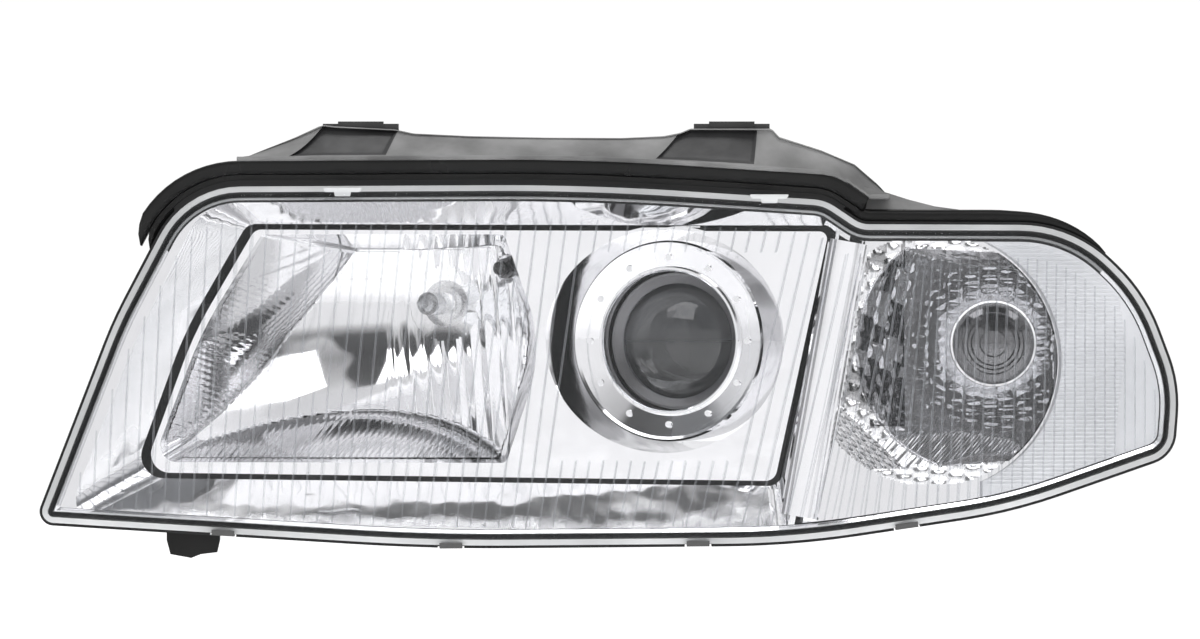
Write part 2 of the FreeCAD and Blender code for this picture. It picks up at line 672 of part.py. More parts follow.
def build_adjusters():
    x, z, lift = value("pivot_x"), value("pivot_z"), value("lift_z")
    back = value("tub_back")
    ball_and_shaft("vertical_adjuster_rod", x, lift, "84")
    ball_and_shaft("horizontal_adjuster_rod", value("yaw_x"), z, "90")
    turned("levelling_motor", [("shaft_radius + 0.08", "0"), ("12", "0"), ("12", "9"), ("11", "10"),
           ("11", "27"), ("9.5", "29"), ("5", "29"), ("5", "30"), ("0", "30"), ("0", "26"),
           ("shaft_radius + 0.08", "26")], looking_back(x, back, lift))
    turned("horizontal_adjuster_case", [("shaft_radius + 0.08", "0"), ("12", "0"), ("12", "3"),
           ("9.5", "5"), ("9.5", "16"), ("shaft_radius + 0.08", "16")], looking_back(value("yaw_x"), back, z))
    knob = turned("vertical_adjuster_knob", [("0", "0"), ("8", "0"), ("9", "1"), ("9", "9"),
                  ("8", "10"), ("3", "10"), ("3", "6"), ("0", "6")], looking_back(x, back + 30.3, lift))
    fluted(knob, "vertical_knob", 9.6, 1.6, 12, 12)
    knob = turned("horizontal_adjuster_knob", [("shaft_radius + 0.08", "0"), ("8", "0"), ("9", "1"),
                  ("9", "20"), ("8", "21"), ("0", "21"), ("0", "18"), ("shaft_radius + 0.08", "18")],
                  looking_back(value("yaw_x"), back + 16.3, z))
    fluted(knob, "horizontal_knob", 9.6, 1.6, 22, 12)


# ---------------------------------------------------------------- projector

def build_projector():
    ring = turned("ring_blank", [("ring_radius", "2"), ("ring_radius - 1", "0"), ("ring_radius - 2.5", "0.6"),
           ("ring_bore + 2.6", "3.5"), ("ring_bore + 1.9", "1.8"), ("ring_bore + 0.7", "1.8"),
           ("ring_bore", "3"), ("ring_bore", "12"), ("ring_bore + 1.8", "12"), ("ring_bore + 1.8", "5.6"),
           ("ring_radius - 2.4", "3"), ("ring_radius - 1.8", "3.6"), ("ring_radius - 1.8", "ring_depth"),
           ("ring_radius", "ring_depth")], low_axis())
    rivets = []
    for i in range(int(value("rivet_count"))):
        angle = 2 * math.pi * i / value("rivet_count")
        spot = Vector(math.cos(angle), math.sin(angle), 0) * value("rivet_circle")
        place = low_axis() * Placement(spot + UP * 1.1, Rotation())
        rivets.append(cylinder(f"rivet_{i}", "rivet_radius", "4.2", place))
    combine("Cut", "trim_ring", ring, combine("Compound", "ring_rivets", *rivets))
    bulge = (32 ** 2 + 13 ** 2) / (2 * 13)
    middle = Vector(17, 0, 5 + bulge - math.sqrt(bulge ** 2 - 17 ** 2))
    profile = [Part.Arc(Vector(0, 0, 5), middle, Vector(32, 0, 18)).toShape(),
               Part.makeLine(Vector(32, 0, 18), Vector(32, 0, 22)),
               Part.makeLine(Vector(32, 0, 22), Vector(0, 0, 22)),
               Part.makeLine(Vector(0, 0, 22), Vector(0, 0, 5))]
    feature("projector_lens", Part.Face(Part.Wire(profile)).revolve(Vector(), UP, 360), low_axis())
    turned("lens_retainer", [("30.4", "15.6"), ("34.6", "13.2"), ("35.8", "13.2"), ("35.8", "20"),
           ("32.2", "20"), ("32.2", "17.9"), ("31.6", "17.3")], low_axis())
    turned("lens_holder", [("29", "22"), ("32", "22"), ("32.2", "20.2"), ("36.4", "20.2"), ("36.4", "30"),
           ("34", "34"), ("38", "57"), ("40", "57"), ("40", "60"), ("34", "60"), ("31", "34"), ("29", "28")],
           low_axis())
    plate = cylinder("shutter_disc", "38", "1.5", low_axis(60))
    upper = Part.makeBox(80, 60, 10, Vector(-40, -60, -3))
    step = Part.makeBox(40, 60, 10, Vector(0, -57.5, -3))
    combine("Cut", "beam_shutter", plate, feature("shutter_window", upper.fuse(step).common(
        Part.makeCylinder(31, 10, Vector(0, 0, -3), UP)), low_axis(60)))
    feature("projector_reflector", ellipsoid_shell(), low_axis(61.5))
    screws = []
    for angle in (45, 135, 225, 315):
        spot = Vector(math.cos(math.radians(angle)), math.sin(math.radians(angle)), 0) * 37.6
        place = low_axis(66.3) * Placement(spot, Rotation())
        screws.append(cylinder(f"projector_screw_{angle}", "1.4", "10", place))
    combine("Compound", "projector_screws", *screws)


def ellipsoid_shell():
    """The projector's reflector: half an ellipsoid with a flange in front and the bulb's neck behind."""
    length, girth, wall, flange, neck = 40.0, 33.0, 2.2, 3.0, 17.0
    bore, seat = value("bulb_hole"), value("low_bulb_seat") - 61.5
    inner_end = math.acos(bore / girth)
    outer_start, outer_end = math.asin(flange / (length + wall)), math.acos(neck / (girth + wall))

    def arc(grow, start, end):
        curve = Part.Ellipse(Vector(0, 0, length + grow), Vector(girth + grow, 0, 0), Vector())
        middle = (start + end) / 2
        points = [Vector((girth + grow) * math.cos(a), 0, (length + grow) * math.sin(a))
                  for a in (start, middle, end)]
        spots = [curve.parameter(point) for point in points]
        return Part.ArcOfEllipse(curve, min(spots[0], spots[2]), max(spots[0], spots[2])).toShape(), points

    inner, inner_points = arc(0.0, 0.0, inner_end)
    outer, outer_points = arc(wall, outer_start, outer_end)
    path = [inner_points[0], Vector(40, 0, 0), Vector(40, 0, flange), outer_points[0]]
    plate = value("seat_plate_radius")
    rest = [outer_points[2], Vector(neck, 0, seat - 3), Vector(plate, 0, seat - 3), Vector(plate, 0, seat),
            Vector(bore, 0, seat), inner_points[2]]
    edges = [Part.makeLine(a, b) for a, b in zip(path, path[1:])] + [outer]
    edges += [Part.makeLine(a, b) for a, b in zip(rest, rest[1:])] + [inner]
    shell = Part.Face(Part.Wire(Part.__sortEdges__(edges))).revolve(Vector(), UP, 360)
    lugs = [Part.makeCylinder(2.1, 4.8, Vector(37.6 * math.cos(a), 37.6 * math.sin(a), 0), UP)
            for a in (math.radians(d) for d in (45, 135, 225, 315))]
    return shell.fuse(lugs)


# ---------------------------------------------------------------- bulbs and their clips

def build_bulb(name, axis, seat):
    """A halogen bulb with its flange against a seat, its plug, and the sprung wire that holds it."""
    turned(name + "_bulb_glass", [("0", "0"), ("2.4", "0.5"), ("4.6", "2"), ("6", "5.2"), ("6", "34"), ("0", "34")],
           axis(seat - 40))
    turned(name + "_bulb_base", [("0", "34"), ("8.6", "34"), ("8.6", "40"), ("flange_radius", "40"),
           ("flange_radius", "40 + flange_thick"), ("9", "40 + flange_thick"), ("9", "49"), ("0", "49")],
           axis(seat - 40))
    plug = box(name + "_bulb_plug", ("16", "12", "13"), (0, 0, 0))
    plug.Placement = axis(seat + 9.3) * Placement(Vector(-8, -6, 0), Rotation())
    wire, half, reach = value("clip_wire"), value("clip_half_width"), value("clip_reach")
    stand = value("flange_thick") + wire + 0.1
    bend = 2.5
    pin = half + 6
    corners = [Vector(-pin, reach, stand), Vector(-half, reach, stand), Vector(-half, -reach, stand),
               Vector(half, -reach, stand), Vector(half, reach, stand), Vector(pin, reach, stand)]
    edges, last = [], corners[0]
    for i in range(1, len(corners) - 1):
        back = (corners[i - 1] - corners[i]).normalize()
        ahead = (corners[i + 1] - corners[i]).normalize()
        start, end = corners[i] + back * bend, corners[i] + ahead * bend
        middle = corners[i] + (back + ahead).normalize() * bend * (math.sqrt(2) - 1)
        edges += [Part.makeLine(last, start), Part.Arc(start, middle, end).toShape()]
        last = end
    edges.append(Part.makeLine(last, corners[-1]))
    spine = feature(name + "_clip_path", Part.Wire(edges))
    section = feature(name + "_clip_section", Part.Wire(Part.makeCircle(wire, corners[0], Vector(1, 0, 0))))
    sweep = doc.addObject("Part::Sweep", name + "_bulb_clip")
    sweep.Sections = [section]
    sweep.Spine = (spine, [])
    sweep.Solid = True
    sweep.Placement = axis(seat)
    hooks = []
    for side in (-1, 1):
        ear = Part.makeBox(2.4, 5, 6, Vector(side * (pin - 1.8) - 1.2, reach - 2.5, 0))
        pin_way = Part.makeCylinder(wire + 0.1, 12, Vector(side * (pin - 3) - 6, reach, stand), Vector(1, 0, 0))
        hooks.append(ear.cut(pin_way))
    feature(name + "_clip_ears", Part.makeCompound(hooks), axis(seat))


def build_parking_lamp():
    turned("parking_bulb", [("0", "0"), ("2", "0.6"), ("3.5", "3"), ("4", "6"), ("3.5", "9.5"), ("3.5", "22"),
           ("0", "22")], parking_axis(-10))
    turned("parking_holder", [("3.7", "1"), ("5.3", "1"), ("5.3", "14"), ("9", "14"), ("9", "16.5"), ("7", "17"),
           ("7", "24"), ("0", "24"), ("0", "12"), ("3.7", "12")], parking_axis(0))


def build_turn_lamp():
    x, back, z = value("turn_x"), value("turn_back"), value("turn_z")
    turned("turn_bulb_glass", [("0", "0"), ("4", "0.8"), ("7.5", "3.4"), ("9", "8"), ("8.6", "13"), ("6.8", "19"),
           ("6.8", "22"), ("0", "22")], looking_back(x, -1, z))
    turned("turn_bulb_base", [("0", "0"), ("7.5", "0"), ("7.5", "15.2"), ("0", "15.2")],
           looking_back(x, 21, z))
    holder = turned("turn_holder_core", [("0", "0"), ("turn_hole - 0.4", "0"), ("turn_hole - 0.4", "5.8"), ("20", "6"),
                    ("20", "8.6"), ("15", "9.4"), ("15", "15"), ("0", "15")], looking_back(x, back - 5.8, z))
    grip = box("turn_holder_grip", ("30", "12", "8"), (x - 15, back + 9, z - 4))
    combine("Fuse", "turn_bulb_holder", holder, grip)


# ---------------------------------------------------------------- rear covers and fittings

def build_cover(name, axis):
    end = collar_station(axis)
    inner = "collar_bore + collar_wall + cover_play"
    outer = inner + " + cover_wall"
    cover = turned(name + "_cover", [(inner, "0"), (outer, "0"), (outer, "15"), ("collar_bore + 0.5", "19"),
                   ("collar_bore - 1", "28.6"), ("collar_bore - 3", "30.6"), ("14", "30.6"), ("12", "28.6"),
                   ("0", "28.6"), ("0", "26"), ("13", "26"), ("15", "28"), ("collar_bore - 4.4", "28"),
                   ("collar_bore - 3.6", "27"), ("collar_bore - 2", "14"), (inner, "14")], axis(end - 12))
    fluted(cover, name + "_cover", value(outer) + 1.6, 3.0, 15, 18)
    turned(name + "_cover_seal", [("collar_bore + 0.2", "0"), ("collar_bore + collar_wall - 0.2", "0"),
           ("collar_bore + collar_wall - 0.2", "seal_thick"), ("collar_bore + 0.2", "seal_thick")], axis(end))


def build_connector():
    x, y, z = -170, value("tub_back"), -100
    outer = box("plug_shroud", ("40", "22", "18"), (x - 20, y, z - 9))
    inner = box("plug_space", ("36", "20", "14"), (x - 18, y + 4, z - 7))
    key = box("plug_key", ("8", "16", "3"), (x - 4, y + 6, z + 9))
    shroud = combine("Cut", "plug_hollow", outer, inner)
    combine("Fuse", "main_connector", shroud, key)
    pins = []
    for i in range(10):
        spot = (x - 12.75 + 6 * (i % 5), y + 4, z - 3.75 + 6 * (i // 5))
        pins.append(box(f"pin_{i}", ("1.5", "10", "1.5"), spot))
    combine("Compound", "connector_pins", *pins)


def build_vents():
    vents = []
    for i, (x, z) in enumerate(((-225 + 40, -60), (172, -170))):
        tube = cylinder(f"vent_tube_{i}", "5", "9", looking_back(x, value("tub_back"), z))
        cap = cylinder(f"vent_cap_{i}", "8", "7", looking_back(x, value("tub_back") + 9, z))
        vents.append(combine("Fuse", f"vent_{i}", tube, cap))
    combine("Compound", "vent_caps", *vents)


# ---------------------------------------------------------------- mounts and outer trim

def build_bracket(name, side):
    """A pressed steel step from the housing's top up to the mounting plane."""
    x, width, thick = side * value("bolt_spacing") / 2, value("tab_width"), value("plate_thick")
    foot = bracket_foot(side)
    points = [(-12, -thick), (-12, 0), (15, 0), (15, foot + thick), (42, foot + thick), (42, foot),
              (15 - thick, foot), (15 - thick, -thick)]
    step = padded(name + "_step", points, "tab_width", Placement(Vector(x - width / 2, 0, 0), bracket_turn()))
    hole = cylinder(name + "_hole", "bolt_hole", "40", Placement(Vector(x, 0, -20), Rotation()))
    screws = [cylinder(f"{name}_way_{i}", "2.2", "40", Placement(Vector(x + dx, 30, foot - 20), Rotation()))
              for i, dx in enumerate((-12, 12))]
    combine("Cut", name + "_bracket", step, combine("MultiFuse", name + "_ways", hole, *screws))


def bracket_turn():
    """Turns an outline's X to the lamp's Y, its Y to the lamp's Z, and its Z to the lamp's X."""
    return Rotation(FreeCAD.Matrix(0, 0, 1, 0, 1, 0, 0, 0, 0, 1, 0, 0, 0, 0, 0, 1))


def build_fasteners():
    screws, nuts = [], []
    for side in (-1, 1):
        for dx in (-12, 12):
            head = bracket_foot(side) + value("plate_thick")
            spot = Placement(Vector(side * value("bolt_spacing") / 2 + dx, 30, head), Rotation())
            screws.append(cylinder(f"bracket_screw_{side}_{dx}", "4.2", "3", spot))
        x, thick = side * value("bolt_spacing") / 2, value("plate_thick")
        points = [(-13.4, -thick - 1.2), (-13.4, 1.2), (8, 1.2), (8, 0), (-12.1, 0), (-12.1, -thick),
                  (8, -thick), (8, -thick - 1.2)]
        clip = padded(f"nut_clip_{side}", points, "24", Placement(Vector(x - 12, 0, 0), bracket_turn()))
        way = cylinder(f"nut_way_{side}", "bolt_hole", "40", Placement(Vector(x, 0, -20), Rotation()))
        nuts.append(combine("Cut", f"speed_nut_{side}", clip, way))
    combine("Compound", "bracket_screws", *screws)
    combine("Compound", "speed_nuts", *nuts)


def edge_point(x, top, outset=0.0):
    """Height and lean of the lens's edge at X, on its top or its foot, straight between the corners."""
    edge = offset_corners(LENS_EDGE, outset)
    corners = edge[1:9] if top else edge[9:] + edge[:1]
    for (xa, za, _), (xb, zb, _) in zip(corners, corners[1:]):
        if min(xa, xb) <= x <= max(xa, xb):
            return za + (zb - za) * (x - xa) / (xb - xa), math.degrees(math.atan2(zb - za, xb - xa))
    raise ValueError(f"no edge at X = {x}")


def face_y(x, z, depth):
    radius = value("inboard_sweep") if x < 0 else value("outboard_sweep")
    return (value("face_front") + radius - math.sqrt(radius ** 2 - x ** 2)
            + value("face_rake") * (z - value("face_foot")) + depth)


CLIP_PLACES = (-170, -50, 80, 190)  # X of the clips along the lens's foot


def clip_part(label, x, points, width):
    """A strip seen end-on as (depth behind the face, distance outside the lens's edge), set at X on the foot."""
    z, lean = edge_point(x, False)
    seat = Placement(Vector(x, face_y(x, z, 0), z), Rotation(REAR, -lean) * bracket_turn())
    return padded(label, points, str(width), seat * Placement(Vector(0, 0, -width / 2), Rotation()))


def clip_recesses():
    """Shallow steps in the housing's rim, so that the clips lie flush with it."""
    step = [(10, 0.2), (60, 0.2), (60, 6), (10, 6)]
    return [clip_part(f"clip_recess_{i}", x, step, 14) for i, x in enumerate(CLIP_PLACES)]


def build_lens_clips():
    """Sprung steel clips that hold the lens's lip against the housing's rim, along its foot."""
    out, near, far = 0.35, value("lip_depth") - 2.6, value("rim_depth") + 2.6
    points = [(near, out + 1), (far, out + 1), (far, -2.5), (far - 1, -2.5), (far - 1, out),
              (near + 1, out), (near + 1, -1.6), (near, -1.6)]
    combine("Compound", "lens_clips", *[clip_part(f"clip_{i}", x, points, 12) for i, x in enumerate(CLIP_PLACES)])


def build_foot():
    """The rubber-tipped peg under the inboard end."""
    x = value("foot_x")
    sole = [(-14, 6), (14, 6), (14, 0), (12.5, -6.5), (4, -7.5), (-1, -9.5), (-12, -7.5), (-14, 0)]
    peg = padded("foot_block", sole, "20",
                 Placement(Vector(x, -18, -219.6), Rotation(Vector(1, 0, 0), 90)))
    clear = prism("foot_clear", LENS_EDGE, "rim_outset + 0.02")
    combine("Cut", "lower_foot", peg, clear)


# The upper edge of the sheet between the seal and the brackets, as (X, Z): it rises over each bracket.
APRON_TOP = [
    (-163, -18.8), (-129, -6), (-117, -1.2), (-80, -2.6), (-70, -4), (0, -6.3), (56, -6.3), (71, -5.5),
    (76, -2.4), (119, -2.4), (122, -6), (145, -13.7), (167, -23), (181, -38.5),
]


def build_apron():
    """The rubber sheet that leans back from the seal up to the brackets."""
    foot, top = [], []
    for x, z in APRON_TOP:
        base = edge_point(x, True, value("seal_top") + 1.4)[0]
        y = face_y(x, base, 36)
        foot.append(Vector(x, y, base))
        top.append(Vector(x, 0.25 * y - 9, z))
    leaning = Part.makeLoft([Part.makePolygon(foot), Part.makePolygon(top)], False, True)
    pieces = [face.extrude(Vector(0, 2.2, 0)) for face in leaning.Faces]
    feature("hood_apron", pieces[0].fuse(pieces[1:]))


def build_seals():
    """The rubber strips over the lamp's top edge, a deep one above the panel and a slim one outboard."""
    deep = top_band("hood_seal_band", "seal_foot", "seal_top", "22", "40")
    reach = [(-248, -68), (-205, -68), (-150, -48), (150, -50), (174, -50), (174, 20), (-248, 20)]
    combine("Common", "hood_seal", deep, height_window("hood_seal_window", reach))
    slim = top_band("turn_seal_band", "rim_outset + 0.4", "rim_outset + 5.5", "24", "36")
    reach = [(176, -60), (240, -60), (260, -68), (303, -68), (303, 0), (176, 0)]
    combine("Common", "turn_seal", slim, height_window("turn_seal_window", reach))


def top_band(label, near, far, front, back):
    """A strip that follows the lens's edge, from near to far outside it and from front to back behind the face."""
    ring = combine("Cut", label + "_ring", prism(label + "_outer", LENS_EDGE, far),
                   prism(label + "_inner", LENS_EDGE, near))
    return combine("Common", label, ring, swept_slab(label + "_slab", front, back))


def height_window(label, corners):
    """Everything behind an outline given as (X, Z)."""
    wire = Part.makePolygon([Vector(x, -200, z) for x, z in corners + corners[:1]])
    return feature(label, Part.Face(wire).extrude(Vector(0, 400, 0)))


NODES = [
    "front_lens", "lens_seal", "housing", "inner_bezel", "divider_trim", "turn_reflector", "turn_optic",
    "side_diffuser", "reflector_panel", "main_reflector", "projector_cup", "carriage_frame", "pivot_stud",
    "pivot_bush", "vertical_adjuster_rod", "horizontal_adjuster_rod", "levelling_motor",
    "horizontal_adjuster_case", "vertical_adjuster_knob", "horizontal_adjuster_knob", "trim_ring",
    "ring_rivets", "projector_lens", "lens_retainer", "lens_holder", "beam_shutter", "projector_reflector",
    "projector_screws", "main_bulb_glass", "main_bulb_base", "main_bulb_plug", "main_bulb_clip",
    "main_clip_ears", "low_bulb_glass", "low_bulb_base", "low_bulb_plug", "low_bulb_clip", "low_clip_ears",
    "parking_bulb", "parking_holder", "turn_bulb_glass", "turn_bulb_base", "turn_bulb_holder", "main_cover",
    "main_cover_seal", "low_cover", "low_cover_seal", "main_connector", "connector_pins", "vent_caps",
    "inboard_bracket", "outboard_bracket", "bracket_screws", "speed_nuts", "lens_clips", "lower_foot",
    "hood_apron", "hood_seal", "turn_seal",
]


def export_nodes():
    """Checks every object, then writes each sub-part's STEP file."""
    os.makedirs("parts", exist_ok=True)
    for item in doc.Objects:
        if "Invalid" in item.State or "Error" in item.State:
            raise RuntimeError(f"{item.Name} failed: {item.State}")
    for name in NODES:
        shape = doc.getObject(name).Shape
        if shape.isNull() or not shape.isValid() or not shape.Solids:
            raise RuntimeError(f"{name} is empty or not valid")
        print(f"{name}: {len(shape.Solids)} solids, {shape.Volume / 1000:.2f} cm3")
        shape.exportStep(f"parts/{name}.step")


build_lens()
build_lens_seal()
build_housing()
build_bezel()
build_divider()
build_turn_reflector()
build_turn_optic()
build_side_diffuser()
build_panel()
build_main_reflector()
build_cup()
build_carriage_frame()
build_pivot()
build_adjusters()
build_projector()
build_bulb("main", main_axis, value("main_bulb_seat"))
build_bulb("low", low_axis, value("low_bulb_seat"))
build_parking_lamp()
build_turn_lamp()
build_cover("main", access_axis)
build_cover("low", low_axis)
build_connector()
build_vents()
build_bracket("inboard", -1)
build_bracket("outboard", 1)
build_fasteners()
build_lens_clips()
build_foot()
build_apron()
build_seals()
doc.recompute()
export_nodes()
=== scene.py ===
"""Looks of the car headlight assembly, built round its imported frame: lens, rubber, optics and materials."""
import json
import math

import bmesh
import bpy
from mathutils import Matrix, Vector, geometry, noise


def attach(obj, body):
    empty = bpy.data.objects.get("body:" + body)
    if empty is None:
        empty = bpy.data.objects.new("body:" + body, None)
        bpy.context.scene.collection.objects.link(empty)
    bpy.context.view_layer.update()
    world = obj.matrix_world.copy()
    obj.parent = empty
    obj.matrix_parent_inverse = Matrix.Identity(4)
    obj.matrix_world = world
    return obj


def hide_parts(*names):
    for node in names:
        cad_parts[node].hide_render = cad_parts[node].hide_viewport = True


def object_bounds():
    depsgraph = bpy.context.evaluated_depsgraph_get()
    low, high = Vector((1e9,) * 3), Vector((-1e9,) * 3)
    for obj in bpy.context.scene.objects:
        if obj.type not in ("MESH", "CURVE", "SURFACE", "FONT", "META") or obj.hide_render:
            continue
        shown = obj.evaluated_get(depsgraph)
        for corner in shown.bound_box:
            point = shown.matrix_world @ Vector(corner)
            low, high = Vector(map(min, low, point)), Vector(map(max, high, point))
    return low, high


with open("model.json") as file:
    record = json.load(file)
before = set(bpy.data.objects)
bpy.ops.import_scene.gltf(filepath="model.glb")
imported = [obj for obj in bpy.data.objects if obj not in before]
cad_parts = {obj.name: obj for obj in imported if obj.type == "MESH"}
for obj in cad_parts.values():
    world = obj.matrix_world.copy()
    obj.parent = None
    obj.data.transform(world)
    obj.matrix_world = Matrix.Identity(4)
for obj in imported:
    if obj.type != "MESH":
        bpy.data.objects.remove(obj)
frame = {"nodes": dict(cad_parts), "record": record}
bpy.context.view_layer.update()
NODES = frame["nodes"]
BODIES = frame["record"]["behaviour"]["bodies"]
BODY = {node: body for body, nodes in BODIES.items() for node in nodes}
MM = 0.001

# ---------------------------------------------------------------- the lamp's own lines, in millimetres

FACE_FRONT, FACE_FOOT, FACE_RAKE = -90.0, -222.0, 0.08
INBOARD_SWEEP, OUTBOARD_SWEEP = 1343.0, 820.0
LENS_EDGE = [
    (-268, -210, 6), (-227, -104, 220), (-190, -33.5, 48), (20, -32.5, 1500), (147, -40.5, 22),
    (166, -53.2, 14), (278, -53.5, 70), (316, -90, 90), (334, -138, 70), (331, -174.5, 16),
    (245, -204, 300), (130, -221, 500), (-60, -222.5, 1200),
]
TOE = math.radians(20)  # how far the optics point outboard of the lamp's own axis


def face_y(x, z, depth=0.0):
    """The swept, raked front face, or a surface some depth behind it."""
    sweep = INBOARD_SWEEP if x < 0 else OUTBOARD_SWEEP
    return FACE_FRONT + sweep - math.sqrt(sweep * sweep - x * x) + FACE_RAKE * (z - FACE_FOOT) + depth


def on_face(x, z, depth=0.0):
    return Vector((x, face_y(x, z, depth), z))


def offset_corners(corners, outset):
    """The outline's corners moved out square to its edges, radii included."""
    moved = []
    for i, (x, z, radius) in enumerate(corners):
        before, after = corners[i - 1], corners[(i + 1) % len(corners)]
        inward = Vector((x - before[0], z - before[1])).normalized()
        onward = Vector((after[0] - x, after[1] - z)).normalized()
        out = Vector((-inward.y - onward.y, inward.x + onward.x))
        spot = Vector((x, z)) + out * (outset / (0.5 * out.length_squared))
        convex = inward.x * onward.y - inward.y * onward.x < 0
        moved.append((spot.x, spot.y, max(0.4, radius + (outset if convex else -outset))))
    return moved


def corner_arc(corners, i):
    """Start, centre, turn and end of the arc at a corner."""
    x, z, radius = corners[i]
    before, after = corners[i - 1], corners[(i + 1) % len(corners)]
    spot = Vector((x, z))
    back = (Vector(before[:2]) - spot).normalized()
    ahead = (Vector(after[:2]) - spot).normalized()
    half = math.acos(max(-1, min(1, back.dot(ahead)))) / 2
    reach = radius / math.tan(half)
    centre = spot + (back + ahead).normalized() * (radius / math.sin(half))
    return spot + back * reach, centre, spot + ahead * reach


def counts(corners, step):
    """How many points each corner's arc and the straight after it take."""
    arcs, found = [corner_arc(corners, i) for i in range(len(corners))], []
    for i, (start, centre, end) in enumerate(arcs):
        turn = abs((start - centre).angle_signed(end - centre, 0))
        radius = (start - centre).length
        straight = (arcs[(i + 1) % len(arcs)][0] - end).length
        bends = max(math.ceil(turn * radius / step), math.ceil(turn / math.radians(9)), 2)
        found.append((bends, max(1, math.ceil(straight / step))))
    return found


def outline(corners, outset, plan):
    """Points round an outline moved out by outset, the same number for any outset."""
    shifted = offset_corners(corners, outset)
    arcs, points = [corner_arc(shifted, i) for i in range(len(shifted))], []
    for i, (start, centre, end) in enumerate(arcs):
        bends, straights = plan[i]
        turn = (start - centre).angle_signed(end - centre, 0)
        for k in range(bends + 1):
            spin = Matrix.Rotation(-turn * k / bends, 2)
            points.append(centre + spin @ (start - centre))
        onward = arcs[(i + 1) % len(arcs)][0]
        for k in range(1, straights):
            points.append(end.lerp(onward, k / straights))
    return points


def inside(point, loop):
    """True if (x, z) is inside a closed loop of points."""
    x, z = point
    hit = False
    for a, b in zip(loop, loop[1:] + loop[:1]):
        if (a[1] > z) != (b[1] > z) and x < (b[0] - a[0]) * (z - a[1]) / (b[1] - a[1]) + a[0]:
            hit = not hit
    return hit


# ---------------------------------------------------------------- meshes

def piece(name, vertices, faces, body, slot, smooth=True, replaces=(), sharp=None, look=None,
          second=None):
    """A mesh from points in millimetres that rides on a body.

    Its look is its slot's material unless one is named. second is (look, faces that have it).
    """
    mesh = bpy.data.meshes.new(name)
    mesh.from_pydata([Vector(v) * MM for v in vertices], [], faces)
    work = bmesh.new()
    work.from_mesh(mesh)
    bmesh.ops.recalc_face_normals(work, faces=work.faces)
    work.to_mesh(mesh)
    work.free()
    mesh.polygons.foreach_set("use_smooth", [smooth] * len(mesh.polygons))
    if sharp:
        mesh.set_sharp_from_angle(angle=math.radians(sharp))
    thing = bpy.data.objects.new(name, mesh)
    bpy.context.scene.collection.objects.link(thing)
    mesh.materials.append(MATERIALS[look or slot])
    if second:
        mesh.materials.append(MATERIALS[second[0]])
        for i in second[1]:
            mesh.polygons[i].material_index = 1
    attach(thing, body)
    if replaces:
        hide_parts(*replaces)
    return thing


def skin_rings(rings):
    """Quads between rings of equal length. Returns the points and faces."""
    count = len(rings[0])
    points = [p for ring in rings for p in ring]
    faces = []
    for r in range(len(rings) - 1):
        for i in range(count):
            j = (i + 1) % count
            faces.append((r * count + i, r * count + j, (r + 1) * count + j, (r + 1) * count + i))
    return points, faces


def merge(parts):
    """Several (points, faces) as one."""
    points, faces = [], []
    for some_points, some_faces in parts:
        base = len(points)
        points += some_points
        faces += [tuple(base + i for i in face) for face in some_faces]
    return points, faces


def bar(path, section):
    """A closed bar: section(index, step) gives a ring of points at each step of the path."""
    rings = [section(i, p) for i, p in enumerate(path)]
    points, faces = skin_rings(rings)
    count = len(rings[0])
    faces.append(tuple(range(count)))
    faces.append(tuple(len(points) - 1 - i for i in range(count)))
    return points, faces


def sheet(columns, rows, front, back, kept):
    """A closed sheet on a grid: front and back give points, kept(column, row) says which cells it has."""
    cells = [(c, r) for c in range(len(columns) - 1) for r in range(len(rows) - 1) if kept(c, r)]
    place, points, faces, rim = {}, [], [], {}

    def corner(c, r):
        if (c, r) not in place:
            place[c, r] = len(points)
            points.append(front(columns[c], rows[r]))
            points.append(back(columns[c], rows[r]))
        return place[c, r]

    for c, r in cells:
        ring = [corner(c, r), corner(c + 1, r), corner(c + 1, r + 1), corner(c, r + 1)]
        faces.append(tuple(ring))
        faces.append(tuple(i + 1 for i in reversed(ring)))
        for a, b in zip(ring, ring[1:] + ring[:1]):
            if (b, a) in rim:
                del rim[b, a]
            else:
                rim[a, b] = True
    faces += [(b, a, a + 1, b + 1) for a, b in rim]
    return points, faces


def spread(start, end, step):
    """Evenly spaced numbers from start to end."""
    count = max(1, round((end - start) / step))
    return [start + (end - start) * k / count for k in range(count + 1)]


# ---------------------------------------------------------------- materials

MATERIALS = {}
CHROME_TINT = (1, 1, 1.01)
ACRYLIC_IOR, GLASS_IOR = 1.49, 1.5


def tree(name):
    """A new material, its nodes, its links and its surface shader."""
    mat = bpy.data.materials.new(name)
    mat.use_nodes = True
    nodes, links = mat.node_tree.nodes, mat.node_tree.links
    MATERIALS[name] = mat
    return mat, nodes, links, nodes["Principled BSDF"]


def noise_node(nodes, links, scale, detail=4.0, stretch=None):
    texture = nodes.new("ShaderNodeTexNoise")
    texture.inputs["Scale"].default_value = scale
    texture.inputs["Detail"].default_value = detail
    where = nodes.new("ShaderNodeTexCoord")
    if stretch is None:
        links.new(where.outputs["Object"], texture.inputs["Vector"])
    else:
        mapping = nodes.new("ShaderNodeMapping")
        mapping.inputs["Scale"].default_value = stretch
        links.new(where.outputs["Object"], mapping.inputs["Vector"])
        links.new(mapping.outputs["Vector"], texture.inputs["Vector"])
    return texture


def ramp(nodes, links, source, stops):
    node = nodes.new("ShaderNodeValToRGB")
    node.color_ramp.elements[0].position = stops[0][0]
    node.color_ramp.elements[1].position = stops[-1][0]
    for position, _ in stops[1:-1]:
        node.color_ramp.elements.new(position)
    for element, (_, colour) in zip(node.color_ramp.elements, stops):
        element.color = (*colour, 1) if hasattr(colour, "__len__") else (colour, colour, colour, 1)
    links.new(source, node.inputs["Fac"])
    return node


